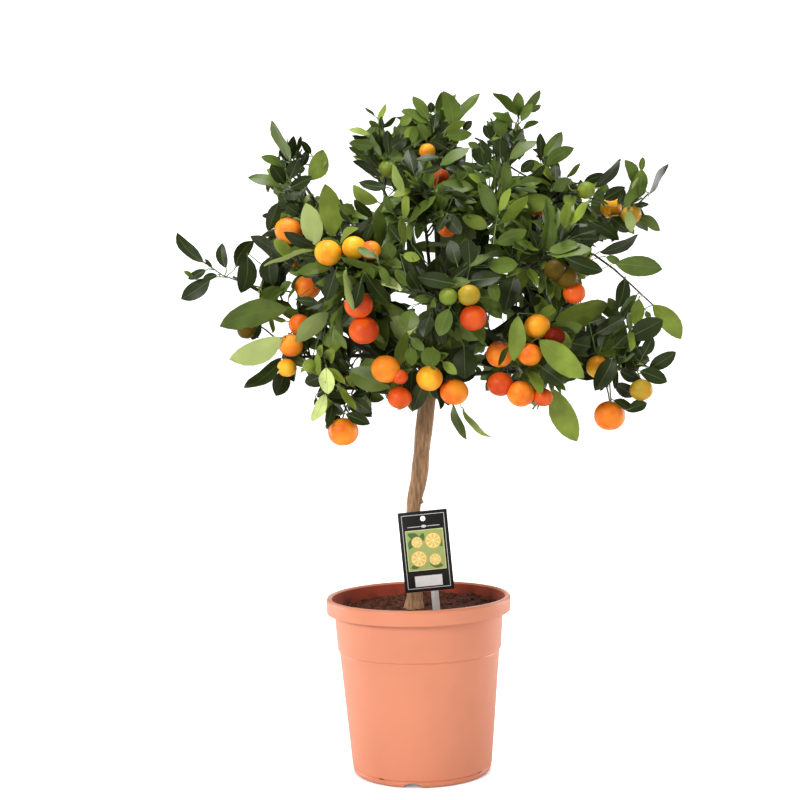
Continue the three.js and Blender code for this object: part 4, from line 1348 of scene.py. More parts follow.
def patchy_tone_group():
    """Two tones of one colour in soft patches."""
    group, given, filled = new_group(
        "patchy tone",
        {"First": (1, 1, 1, 1), "Second": (0, 0, 0, 1), "Scale": 50, "Low": 0.35, "High": 0.65},
        {"Color": "Color", "Mask": "Float"},
    )
    place = add(group, "TexCoord")["Object"]
    patches = add(group, "TexNoise", Vector=place, Scale=given["Scale"], Detail=3)["Fac"]
    mask = add(group, "MapRange", Value=patches, From_Min=given["Low"], From_Max=given["High"])
    tone = mixed(group, mask["Result"], given["First"], given["Second"])
    feed(group, filled["Color"], tone)
    feed(group, filled["Mask"], mask["Result"])
    return group


def fine_relief_group():
    """Small bumps, as on peel, leather and moulded plastic."""
    group, given, filled = new_group(
        "fine relief", {"Scale": 500, "Strength": 0.2, "Depth": 0.0002}, {"Normal": "Vector"})
    place = add(group, "TexCoord")["Object"]
    grain = add(group, "TexNoise", Vector=place, Scale=given["Scale"], Detail=2)["Fac"]
    bump = add(group, "Bump", Height=grain, Strength=given["Strength"], Distance=given["Depth"])
    feed(group, filled["Normal"], bump["Normal"])
    return group


def effect(tree, name, **values):
    """Places a shared effect with its own values, and gives its outputs."""
    builders = {"patchy tone": patchy_tone_group, "fine relief": fine_relief_group}
    group = bpy.data.node_groups.get(name) or builders[name]()
    return add(tree, "Group", node_tree=group, **values)


def patchy(tree, first, second, scale, low, high):
    return effect(tree, "patchy tone", First=opaque(first), Second=opaque(second), Scale=scale,
                  Low=low, High=high)


def roughened(tree, surface, scale, strength, depth):
    """Gives a surface fine relief."""
    bumps = effect(tree, "fine relief", Scale=scale, Strength=strength, Depth=depth)
    feed(tree, surface["Normal"], bumps["Normal"])


def plain_material(name, roughness, **sockets):
    """A material, its node tree and its surface's sockets, with constants set on the shader."""
    material = bpy.data.materials.new(name)
    material.use_nodes = True
    surface = material.node_tree.nodes["Principled BSDF"].inputs
    surface["Roughness"].default_value = roughness
    for label, value in sockets.items():
        surface[label.replace("_", " ")].default_value = value
    return material, material.node_tree, surface


def toned_material(name, first, second, scale, roughness, relief, low=0.35, high=0.65, **sockets):
    """Two tones in patches under fine relief, given as scale, strength and depth."""
    material, tree, surface = plain_material(name, roughness, **sockets)
    feed(tree, surface["Base Color"], patchy(tree, first, second, scale, low, high)["Color"])
    roughened(tree, surface, *relief)
    return material


def shade(colour, factor):
    return tuple(min(1, c * factor) for c in colour[:3])


# ---------------------------------------------------------------- pot

NOTCH = {"turn": 9, "count": 4, "radius": 14, "drop": 8.6, "out": 64, "depth": 38}
DRAIN = {"radius": 5, "out": 52, "up": 2, "depth": 12}
SLOT = {"turn": 27, "out": 74, "up": 6.8, "size": (8, 7, 1.5, 1)}
INNER_WALL = [(70, 4.5), (73.4, 8), (84.9, 132), (86.6, 135), (89.6, 172)]
RIM_DEPTH = 16.5
ROUNDING = 0.5           # of the profile's corners
ROUND_STEPS = 4
SPIN_STEPS = 128
# Where the inner wall's painted shade and the compost dust are drawn.
INNER_SHADE_AND_DUST = {"radius": 93.9, "from": 174, "dust_low": 175, "dust_high": 187}


def rounded(profile):
    """A profile with each inner corner turned on a small arc."""
    points = [Vector(profile[0])]
    for before, corner, after in zip(profile, profile[1:], profile[2:]):
        before, corner, after = Vector(before), Vector(corner), Vector(after)
        reach = min(ROUNDING, 0.45 * (corner - before).length, 0.45 * (after - corner).length)
        start = corner + (before - corner).normalized() * reach
        end = corner + (after - corner).normalized() * reach
        for i in range(ROUND_STEPS + 1):
            part = i / ROUND_STEPS
            points.append(start.lerp(corner, part).lerp(corner.lerp(end, part), part))
    points.append(Vector(profile[-1]))
    return points


def spun(profile):
    """A profile of radius and height in mm, spun round Z into a closed surface."""
    bm = bmesh.new()
    verts = [bm.verts.new((point.x * MM, 0, point.y * MM)) for point in profile]
    edges = [bm.edges.new(pair) for pair in zip(verts, verts[1:])]
    bmesh.ops.spin(bm, geom=verts + edges, cent=(0, 0, 0), axis=(0, 0, 1), dvec=(0, 0, 0),
                   angle=FULL_TURN, steps=SPIN_STEPS, use_merge=True)
    bmesh.ops.remove_doubles(bm, verts=bm.verts[:], dist=1e-6)
    bmesh.ops.recalc_face_normals(bm, faces=bm.faces[:])
    return bm


def cut_away(piece, bm):
    """Cuts a closed shape out of a piece, for good."""
    cutter = bpy.data.objects.new("cutter", as_mesh(bm, "cutter"))
    bpy.context.scene.collection.objects.link(cutter)
    cut = piece.modifiers.new("cut", "BOOLEAN")
    cut.object = cutter
    cut.solver = "EXACT"
    bpy.context.view_layer.update()
    shown = piece.evaluated_get(bpy.context.evaluated_depsgraph_get())
    result = bpy.data.meshes.new_from_object(shown)
    piece.modifiers.clear()
    old = piece.data
    piece.data = result
    result.name = piece.name
    bpy.data.meshes.remove(old)
    bpy.data.objects.remove(cutter)


def drill(bm, radius, depth, segments, place):
    """Adds a round cutter, all in mm, at a place in metres."""
    bmesh.ops.create_cone(bm, cap_ends=True, segments=segments, depth=depth * MM,
                          radius1=radius * MM, radius2=radius * MM, matrix=place)


def pot_plastic(settings):
    """Satin moulded plastic, with painted shade on the inner wall in a darker, redder colour for shade
    and bounced light, and compost dust rubbed on that wall.
    """
    base = settings.plastic
    material, tree, surface = plain_material("terracotta plastic", 0.42, Specular_IOR_Level=0.5)
    tone = patchy(tree, base, shade(base, 0.93), 14, 0.3, 0.7)["Color"]
    dust = patchy(tree, (0, 0, 0), (1, 1, 1), 60, 0.5, 0.62)["Mask"]
    place = add(tree, "TexCoord")["Object"]
    height = add(tree, "SeparateXYZ", Vector=place)["Z"]
    flat = add(tree, "VectorMath", place, (1, 1, 0), operation="MULTIPLY")["Vector"]
    out = add(tree, "VectorMath", flat, operation="LENGTH")["Value"]
    inside = math_node(tree, "LESS_THAN", out, INNER_SHADE_AND_DUST["radius"] * MM)
    above = math_node(tree, "GREATER_THAN", height, INNER_SHADE_AND_DUST["from"] * MM)
    wall = math_node(tree, "MULTIPLY", inside, above)
    low = add(tree, "MapRange", Value=height, From_Min=INNER_SHADE_AND_DUST["dust_high"] * MM,
              From_Max=INNER_SHADE_AND_DUST["dust_low"] * MM)["Result"]
    smear = math_node(tree, "MULTIPLY", wall, math_node(tree, "MULTIPLY", low, dust))
    # Painted shade: the inner wall takes its own darker, redder colour.
    painted_wall_shade = mixed(tree, wall, tone, opaque(settings.painted_inner_shade))
    dusty = mixed(tree, smear, painted_wall_shade, opaque(shade(settings.compost, 1.3)))
    feed(tree, surface["Base Color"], dusty)
    feed(tree, surface["Roughness"],
         add(tree, "MapRange", Value=wall, To_Min=0.4, To_Max=0.9)["Result"])
    roughened(tree, surface, 900, 0.12, 0.0001)
    return material


class CITRUS_OT_pot(bpy.types.Operator):
    """Moulds the pot: body, ledge, rolled rim, foot, drain notches and holes"""

    bl_idname = "citrus.pot"
    bl_label = "Pot"

    def execute(self, context):
        settings = context.scene.citrus_pot
        top, rim = settings.height / MM, settings.rim_radius / MM
        under = top - RIM_DEPTH
        profile = [
            (0, 0), (72, 0), (74, 1.6), (75.2, 5.2), (73.9, 6.4), (75.7, 7.8), (86.8, 131.4),
            (86.4, 132.5), (88.6, 133.6), (91.4, under), (93.2, top - 4.5), (97.6, top - 4.5),
            (98, under), (99.6, under + 0.6), (rim, top - 2.5), (rim - 1.6, top), (95.6, top),
            (93.6, top - 2), *reversed(INNER_WALL), (0, INNER_WALL[0][1]),
        ]
        piece = into_object(spun(rounded(profile)), "pot_shell", [])
        cutters = bmesh.new()
        for i in range(NOTCH["count"]):
            turn = math.radians(-90 - NOTCH["turn"] + i * 360 / NOTCH["count"])
            arch = self.round_pot(turn, NOTCH["out"], -NOTCH["drop"])
            arch = arch @ Matrix.Rotation(math.pi / 2, 4, "Y")
            drill(cutters, NOTCH["radius"], NOTCH["depth"], 40, arch)
            hole = self.round_pot(turn + math.pi / 4, DRAIN["out"], DRAIN["up"])
            drill(cutters, DRAIN["radius"], DRAIN["depth"], 24, hole)
            slot = self.round_pot(turn - math.radians(SLOT["turn"]), SLOT["out"], SLOT["up"])
            slot = slot @ Matrix.Diagonal(SLOT["size"])
            bmesh.ops.create_cube(cutters, size=MM, matrix=slot)
        cut_away(piece, cutters)
        piece.data.materials.append(pot_plastic(settings))
        piece.data.shade_smooth()
        piece.data.set_sharp_from_angle(angle=math.radians(38))
        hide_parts("pot")
        return {"FINISHED"}

    def round_pot(self, turn, out, up):
        return Matrix.Rotation(turn, 4, "Z") @ Matrix.Translation((out * MM, 0, up * MM))


# ---------------------------------------------------------------- compost

SOIL_LEVEL = 175
SOIL_TILT = (0.02, 0.025)
SOIL_LUMP = 1.6
SOIL_LEVEL_RADIUS = 24
SOIL_RINGS = 64
CRUMB_REACH = 88


def soil_height(x, y):
    """The compost's broad shape: flat round the trunk, uneven and rising away from it."""
    broad = math.sin(x / 13 + 0.6) * math.cos(y / 15)
    small = 0.55 * math.sin(x / 7 - y / 9)
    away = min(1, max(0, math.hypot(x, y) / SOIL_LEVEL_RADIUS - 1))
    away = away * away * (3 - 2 * away)
    return SOIL_LEVEL + away * (SOIL_TILT[0] * x + SOIL_TILT[1] * y + SOIL_LUMP * (broad + small))


def crumbly_height(x, y):
    lumps = noise.fractal(Vector((x / 9, y / 9, 3)), 1, 2, 5)
    clods = max(0, noise.noise(Vector((x / 5, y / 5, 8)))) * 2.2
    return soil_height(x, y) + 1.6 * lumps + clods + 0.6


class CITRUS_OT_compost(bpy.types.Operator):
    """Fills the pot with crumbly compost, loose crumbs and a few chips of bark"""

    bl_idname = "citrus.compost"
    bl_label = "Compost"

    def execute(self, context):
        settings = context.scene.citrus_pot
        base = settings.compost
        damp = toned_material("damp compost", shade(base, 0.6), shade(base, 1.7), 260, 0.9,
                              (900, 0.7, 0.0006), Specular_IOR_Level=0.25)
        sides = [(radius - GAP - 0.1, height + GAP) for radius, height in INNER_WALL]
        edge, brim = sides[-1]
        rings = [(edge * (1 - i / SOIL_RINGS), SOIL_LEVEL) for i in range(1, SOIL_RINGS + 1)]
        profile = [Vector(point) for point in [(0, sides[0][1]), *sides, *rings]]
        bm = spun(profile)
        for vert in bm.verts:
            if vert.co.z / MM > brim + 0.1:
                vert.co.z = crumbly_height(vert.co.x / MM, vert.co.y / MM) * MM
        piece = into_object(bm, "compost_bed", [damp])
        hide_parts("soil")
        self.scatter(settings.crumbs, damp)
        return {"FINISHED"}

    def scatter(self, count, damp):
        """Crumbs are small lumps pressed into the bed; chips are thin and lie flat."""
        draw = seeded(4217)
        chip = toned_material("bark chips", linear(120, 88, 58), linear(74, 50, 34), 300, 0.85,
                              (700, 0.5, 0.0004))
        ball = bmesh.new()
        bmesh.ops.create_icosphere(ball, subdivisions=1, radius=1)
        points, faces = template_of(ball)
        parts = []
        for _ in range(count):
            out, turn = CRUMB_REACH * math.sqrt(draw()), FULL_TURN * draw()
            x, y = out * math.cos(turn), out * math.sin(turn)
            size = 0.5 + 1.9 * draw() ** 3
            is_chip = draw() < 0.1 or (math.hypot(x + 12, y + 10) < 26 and draw() < 0.3)
            spread = Vector((size * (0.8 + 0.8 * draw()), size, size * (0.5 + 0.4 * draw())))
            if is_chip:
                spread = Vector((2 + 3.5 * draw(), 0.8 + draw(), 0.45))
            if math.hypot(x, y) + max(spread) > CRUMB_REACH + 1:
                continue
            rough = 1 + 0.3 * np.sin(points @ np.array([3.1, 5.3, 4.7]) + 9 * draw())
            shape = points * rough[:, None] * np.array(spread)
            spin = Matrix.Rotation(FULL_TURN * draw(), 3, "Z")
            spin = spin @ Matrix.Rotation(0.5 * (draw() - 0.5), 3, "X")
            shape = shape @ np.array(spin).T + (x, y, crumbly_height(x, y) + spread.z * 0.3)
            parts.append((shape, faces, int(is_chip)))
        piece = joined_object("compost_crumbs", parts, [damp, chip], smooth=False)


# ---------------------------------------------------------------- plant label

LABEL = {"centre": (8.75, -45, 244), "tilt": -4.3, "thickness": 0.8, "hole": 2.7, "drop": 8}
STAKE = {"width": 8, "thickness": 1.4, "top": 28, "length": 130, "point": 12, "aside": 5}
INK_RISE = 0.06
BORDER = 3.6
RULE = 0.6
# Parts of the print: how far up the middle is, width and height.
PICTURE_FRAME = (1.3, 40, 43)
PICTURE = (1.3, 38.6, 41.6)
BARE_PANEL = (-31.5, 28.8, 11.3)
ORNAMENT = {"up": 26.4, "leaf": 6.8, "rule": 13, "aside": 10.5, "thick": 0.7}
# The picture's leaves: root right and up, length and turn. Its fruit: middle and radius.
PRINTED_LEAVES = [
    (-18, 20, 16, -0.5), (-17.5, 3, 15, 1.1), (18, 3, 15, 2.1), (17, -17, 15, 2.9),
    (-1, 20, 12, -1.9), (-17.5, -17, 12, 0.3),
]
PRINTED_FRUIT = [(-8, -7.5, 8.6), (8.5, 10.5, 8.6), (9, -9.5, 6.4), (-8.5, 10, 6)]
INKS = {
    "silver": (214, 212, 208), "pale green": (168, 184, 104), "cream": (232, 226, 160),
    "leaf": (78, 116, 58), "rind": (236, 176, 62), "pith": (252, 238, 176),
    "flesh": (246, 206, 96), "white": (232, 230, 226),
}
INK_ROUGHNESS = {"silver": 0.4, "white": 0.5}


def label_place():
    """From the card's own right, back and up, in mm, to the part's frame in metres."""
    turn = Matrix.Rotation(math.radians(LABEL["tilt"]), 4, "Y")
    return Matrix.Scale(MM, 4) @ Matrix.Translation(LABEL["centre"]) @ turn


def soften(bm, width):
    bmesh.ops.bevel(bm, geom=bm.edges[:], offset=width, segments=2, profile=0.5,
                    affect="EDGES", material=-1)


class Print:
    """Flat inked shapes on the card's face, each a thin plate of one colour."""

    def __init__(self):
        self.bm = bmesh.new()

    def ink(self, name):
        material, tree, surface = plain_material(f"{name} ink", INK_ROUGHNESS.get(name, 0.35))
        colour = linear(*INKS[name])
        tone = patchy(tree, colour, shade(colour, 0.9), 250, 0.3, 0.7)
        feed(tree, surface["Base Color"], tone["Color"])
        return material

    def plate(self, outline, ink, layer):
        """A closed outline of right and up, in one ink, a layer above the last."""
        rise = -LABEL["thickness"] / 2 - INK_RISE * layer
        verts = thicken(self.bm, [(x, rise, z) for x, z in outline], INK_RISE * 0.9)
        for face in {face for vert in verts for face in vert.link_faces}:
            face.material_index = list(INKS).index(ink)

    def box(self, x, z, width, height, ink, layer):
        w, h = width / 2, height / 2
        self.plate([(x - w, z - h), (x + w, z - h), (x + w, z + h), (x - w, z + h)], ink, layer)

    def arc(self, x, z, radius, start, end, steps):
        turns = [start + (end - start) * i / steps for i in range(steps + 1)]
        return [(x + radius * math.cos(turn), z + radius * math.sin(turn)) for turn in turns]

    def disc(self, x, z, radius, ink, layer):
        self.plate(self.arc(x, z, radius, 0, FULL_TURN, 36)[:-1], ink, layer)

    def leaf(self, x, z, length, turn, ink, layer):
        """A pointed oval with its root at the given spot."""
        outline = []
        for side, order in ((1, range(0, 9)), (-1, range(7, 0, -1))):
            for i in order:
                along, wide = i / 8 * length, 0.24 * length * math.sin(math.pi * i / 8) * side
                outline.append((x + along * math.cos(turn) - wide * math.sin(turn),
                                z + along * math.sin(turn) + wide * math.cos(turn)))
        self.plate(outline, ink, layer)

    def wheel(self, x, z, radius, layer):
        """A slice of citrus fruit: rind, pith and eight segments."""
        self.disc(x, z, radius, "rind", layer)
        self.disc(x, z, radius * 0.9, "pith", layer + 1)
        for k in range(8):
            middle = FULL_TURN * k / 8
            cx, cz = x + radius * 0.1 * math.cos(middle), z + radius * 0.1 * math.sin(middle)
            wedge = self.arc(cx, cz, radius * 0.72, middle - 0.33, middle + 0.33, 6)
            self.plate([(cx, cz), *wedge], "flesh", layer + 2)


class CITRUS_OT_label(bpy.types.Operator):
    """Makes the plant label: a black card with a plain picture and a bare panel, on a stake"""

    bl_idname = "citrus.label"
    bl_label = "Plant Label"

    def execute(self, context):
        settings = context.scene.citrus_label
        width, height = settings.width / MM, settings.height / MM
        self.card(width, height, settings.card)
        self.printing(width / 2 - BORDER, height / 2 - BORDER)
        self.stake()
        return {"FINISHED"}

    def card(self, width, height, colour):
        bm = bmesh.new()
        size = Matrix.Diagonal((width, LABEL["thickness"], height, 1))
        bmesh.ops.create_cube(bm, size=1, matrix=size)
        soften(bm, 0.12)
        bm.transform(label_place())
        card = toned_material("black card", colour, shade(colour, 1.4), 120, 0.5,
                              (800, 0.05, 0.0001), Specular_IOR_Level=0.25)
        piece = into_object(bm, "label_face", [card])
        hole = bmesh.new()
        at = Matrix.Translation((0, 0, height / 2 - LABEL["drop"]))
        at = at @ Matrix.Rotation(math.pi / 2, 4, "X")
        bmesh.ops.create_cone(hole, cap_ends=True, segments=32, depth=4, radius1=LABEL["hole"],
                              radius2=LABEL["hole"], matrix=at)
        hole.transform(label_place())
        cut_away(piece, hole)
        piece.data.shade_smooth()
        piece.data.set_sharp_from_angle(angle=math.radians(30))
        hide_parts("label_card")

    def printing(self, half_w, half_h):
        """A border, a picture of cut fruit among leaves, a bare panel and a small ornament."""
        sheet = Print()
        for side in (-1, 1):
            sheet.box(side * half_w, 0, RULE, 2 * half_h + RULE, "silver", 1)
            sheet.box(0, side * half_h, 2 * half_w - 0.7, RULE, "silver", 1)
        sheet.box(0, *PICTURE_FRAME, "cream", 1)
        sheet.box(0, *PICTURE, "pale green", 2)
        for i, row in enumerate(PRINTED_LEAVES):
            sheet.leaf(*row, "leaf", 3 + i % 2)
        for row in PRINTED_FRUIT:
            sheet.wheel(*row, 5)
        sheet.box(0, *BARE_PANEL, "white", 1)
        up, leaf = ORNAMENT["up"], ORNAMENT["leaf"]
        for side in (-1, 1):
            sheet.box(side * ORNAMENT["aside"], up, ORNAMENT["rule"], ORNAMENT["thick"],
                      "silver", 1)
        sheet.leaf(-leaf / 2, up, leaf, 0, "silver", 1)
        sheet.bm.transform(label_place())
        bmesh.ops.recalc_face_normals(sheet.bm, faces=sheet.bm.faces[:])
        inks = [sheet.ink(name) for name in INKS]
        piece = into_object(sheet.bm, "label_print", inks, smooth=False)

    def stake(self):
        half, foot = STAKE["width"] / 2, STAKE["top"] - STAKE["length"]
        behind = LABEL["thickness"] / 2 + GAP
        outline = [(0, foot), (half, foot + STAKE["point"]), (half, STAKE["top"]),
                   (-half, STAKE["top"]), (-half, foot + STAKE["point"])]
        bm = bmesh.new()
        thicken(bm, [(x + STAKE["aside"], behind, z) for x, z in outline], STAKE["thickness"])
        soften(bm, 0.25)
        bmesh.ops.recalc_face_normals(bm, faces=bm.faces[:])
        bm.transform(label_place())
        plastic = toned_material("stake plastic", linear(206, 203, 198), linear(188, 184, 178),
                                 90, 0.5, (700, 0.08, 0.0001))
        piece = into_object(bm, "label_post", [plastic], sharp=40)
        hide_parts("label_stake")


# ---------------------------------------------------------------- trunk and boughs

TRUNK_FOOT = 172         # the height where the trunk comes out of the compost
# The bark darkens between these heights: a painted shadow of the crown.
SHADE_FROM, SHADE_TO = 360, 420


def bark_material(name, light, dark, scale):
    """Bark with long soft streaks, darker in the creases, partly its own colour and partly painted
    crease shade, and with a painted shadow of the crown that darkens it among the leaves.
    """
    material, tree, surface = plain_material(name, 0.78, Specular_IOR_Level=0.3)
    place = add(tree, "TexCoord")["Object"]
    stretch = add(tree, "Mapping", Vector=place, Scale=(1, 1, 0.16))["Vector"]
    streaks = add(tree, "TexNoise", Vector=stretch, Scale=scale, Detail=6)["Fac"]
    # The streaks' dark tone falls in the bump's hollows: partly bark colour, partly painted crease
    # shade.
    streaks_and_crease_shade = add(tree, "MapRange", Value=streaks, From_Min=0.36, From_Max=0.66)["Result"]
    tone = mixed(tree, streaks_and_crease_shade, opaque(dark), opaque(light))
    # Painted shadow of the crown over the upper trunk and the boughs.
    height = add(tree, "SeparateXYZ", Vector=place)["Z"]
    painted_crown_shadow = add(tree, "MapRange", Value=height, From_Min=SHADE_FROM * MM,
                From_Max=SHADE_TO * MM)["Result"]
    feed(tree, surface["Base Color"], mixed(tree, painted_crown_shadow, tone, opaque(shade(dark, 0.55))))
    bump = add(tree, "Bump", Height=streaks, Strength=0.5, Distance=0.6 * MM)
    feed(tree, surface["Normal"], bump["Normal"])
    return material


def bark_relief(point):
    """Shallow furrows along the stem, a knob, and the sunken scar of an old cut."""
    furrow = noise.fractal(Vector((point.x / 2.6, point.y / 2.6, point.z / 16)), 0.8, 2, 4)
    swell = noise.noise(Vector((point.x / 18, point.y / 18, point.z / 30)))
    cracks = max(0, noise.noise(Vector((point.x / 4, point.y / 4, point.z / 9))) - 0.25)
    height = 0.16 * furrow + 0.35 * swell - 0.7 * cracks
    knob = (point - Vector(KNOB["at"])).length
    if knob < KNOB["radius"] * 1.6:
        height += 1.5 * (1 - knob / KNOB["radius"] / 1.6) ** 2
    scar = point - Vector(SCAR["at"])
    scar.z *= 0.5
    if scar.length < SCAR["reach"]:
        depth = 1 - scar.length / SCAR["reach"]
        height += 0.9 * math.sin(depth * math.pi * 1.6) * depth - 0.5 * depth
    return height


def young_bark_relief(point):
    return 0.16 * noise.fractal(point / 3.5, 0.9, 2, 3)


class CITRUS_OT_trunk(bpy.types.Operator):
    """Grows the trunk with its bark, root flare, knob, scar and the stub of a cut shoot"""

    bl_idname = "citrus.trunk"
    bl_label = "Trunk"

    def execute(self, context):
        settings = context.scene.citrus_plant
        line = spline(TRUNK_LINE)
        start = next(i for i in range(200) if line.at(i / 200).z > TRUNK_FOOT) / 200
        shown = Path([line.at(start + (1 - start) * i / 120) for i in range(121)])
        bm = bmesh.new()
        sweep(bm, shown, lambda share: read_table(TRUNK_RADII, shown.at(share).z), 48, 220,
              bark_relief)
        reach = Matrix.Rotation(STUB["lean"], 4, "Y") @ Vector((0, 0, STUB["length"] / 2))
        stub = Path([Vector(STUB["at"]) - reach, Vector(STUB["at"]) + reach])
        sweep(bm, stub, lambda share: STUB["radius"] * (1.15 - 0.3 * share), 16, 8, bark_relief)
        bmesh.ops.recalc_face_normals(bm, faces=bm.faces[:])
        bark = bark_material("bark", shade(settings.bark, 1.15), shade(settings.bark, 0.55), 420)
        piece = into_object(bm, "trunk_bark", [bark])
        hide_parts("trunk")
        return {"FINISHED"}


class CITRUS_OT_boughs(bpy.types.Operator):
    """Grows every bough out of the trunk or its parent bough, as far as its mass"""

    bl_idname = "citrus.boughs"
    bl_label = "Boughs"

    def execute(self, context):
        masses = lay_out_masses(spline(TRUNK_LINE))
        bm = bmesh.new()
        for mass in masses:
            steps = max(10, int(mass.limb.length / 3))
            sweep(bm, mass.limb, mass.limb_radius, 12, steps, young_bark_relief)
        bmesh.ops.recalc_face_normals(bm, faces=bm.faces[:])
        bark = bark_material("young bark", linear(92, 84, 50), linear(44, 38, 22), 300)
        piece = into_object(bm, "bough_limbs", [bark])
        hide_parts(*[f"bough_{mass.name}" for mass in masses])
        return {"FINISHED"}


# ---------------------------------------------------------------- leaves, twigs and fruit

# Places along a blade and its half width there: a leaf in the crown, and one that stands out.
LEAF_STATIONS = [0, 0.1, 0.28, 0.5, 0.72, 0.9, 1]
LEAF_PROFILE = [0.07, 0.4, 0.84, 1, 0.88, 0.5, 0.06]
CLEAR_STATIONS = [0, 0.08, 0.2, 0.35, 0.5, 0.65, 0.8, 0.92, 1]
CLEAR_PROFILE = [0.06, 0.4, 0.74, 0.96, 1, 0.93, 0.72, 0.38, 0.03]
LEAF_THICKNESS = 0.45
RIB_HALF = 0.4
LEAF_ROUGHNESS = {"dark": 0.38, "mid": 0.38, "light": 0.42, "new": 0.48, "pale": 0.5}
# The colour towards which each rib and underside pales, and how far.
UNDERSIDE = {"colour": (138, 160, 98), "share": 0.3}
PALE_UNDERSIDE = {"colour": (158, 172, 102), "share": 0.95}
# Sides, steps and material of each kind of twig.
TWIG_KINDS = {"stem": (7, 8, 0), "shoot": (5, 5, 0), "stalk": (4, 2, 1)}
SECOND_TONES = {
    "orange": (250, 152, 32), "yellow": (248, 150, 22), "deep": (228, 92, 18),
    "turning": (198, 146, 28), "green": (146, 152, 48), "painted_shade_unripe": (94, 72, 14),
    "painted_shade_ripe": (136, 36, 8),
}


def leaf_template(stations, profile):
    """A flat blade of three strips, given a thickness of one: edge, rib, rib and edge."""
    bm = bmesh.new()
    bmesh.ops.create_grid(bm, x_segments=3, y_segments=len(stations) - 1, size=1)
    bmesh.ops.solidify(bm, geom=bm.faces[:], thickness=1)
    top = max(vert.co.z for vert in bm.verts)
    slots = []
    for face in bm.faces:
        middle = face.calc_center_median()
        level = abs(face.normal.z) > 0.5
        under = level and abs(middle.z - top) > 0.25
        slots.append(2 if under else int(level and abs(middle.x) < 0.2))
    points, faces = template_of(bm)
    at_edge = np.abs(points[:, 0]) > 0.6
    across = np.where(at_edge, np.sign(points[:, 0]), 0.0)
    inner = np.where(at_edge, 0.0, np.sign(points[:, 0]))
    station = np.rint((points[:, 1] + 1) / 2 * (len(stations) - 1)).astype(int)
    low = (top - points[:, 2]) / (top - points[:, 2].min())
    share, half = np.array(stations)[station], np.array(profile)[station]
    return across, inner, share, half, low, faces, slots


def leaf_points(leaf, template):
    """One leaf's own points: folded along its rib, curled back, twisted and a little wavy."""
    across, inner, share, half, low, _, _ = template
    half = leaf["width"] / 2 * half
    rib = np.minimum(RIB_HALF * (1.15 - 0.8 * share), half * 0.5)
    side = across * half + inner * rib
    bent = share**2 - (0 if leaf["bow"] is None else share)
    rise = leaf["fold"] * np.abs(side) - leaf["curl"] * leaf["length"] * bent
    rise += 0.05 * leaf["width"] * np.sin(9 * share + 6 * leaf["wave"]) * np.abs(across)
    rise += leaf["twist"] * side * share
    rise -= low * LEAF_THICKNESS * (1 - 0.4 * np.abs(across))
    along = share * leaf["length"] - 0.12 * leaf["curl"] * leaf["length"] * bent
    axes = np.array([leaf["way"], leaf["normal"].cross(leaf["way"]), leaf["normal"]])
    points = np.stack([along, side, rise], axis=1) @ axes + np.array(leaf["root"])
    if leaf["bow"] is not None:
        points += (4 * share * (1 - share))[:, None] * np.array(leaf["bow"])
    return points


def leaf_materials(tone, colour):
    """Upper face, rib and paler underside of one tone of leaf."""
    upper = toned_material(f"{tone} leaf", shade(colour, 0.8), shade(colour, 1.25), 45,
                           LEAF_ROUGHNESS[tone], (260, 0.22, 0.0006), Specular_IOR_Level=0.22)
    faded = PALE_UNDERSIDE if tone == "pale" else UNDERSIDE
    share = faded["share"]
    pale = tuple((1 - share) * c + share * p for c, p in zip(colour, linear(*faded["colour"])))
    rib = toned_material(f"{tone} leaf rib", shade(pale, 0.8), shade(pale, 0.95), 60, 0.5,
                         (300, 0.1, 0.0003), Specular_IOR_Level=0.22)
    under = toned_material(f"{tone} leaf underside", shade(pale, 0.92), shade(pale, 1.08), 50,
                           0.6, (260, 0.2, 0.0005), Specular_IOR_Level=0.2)
    return [upper, rib, under]


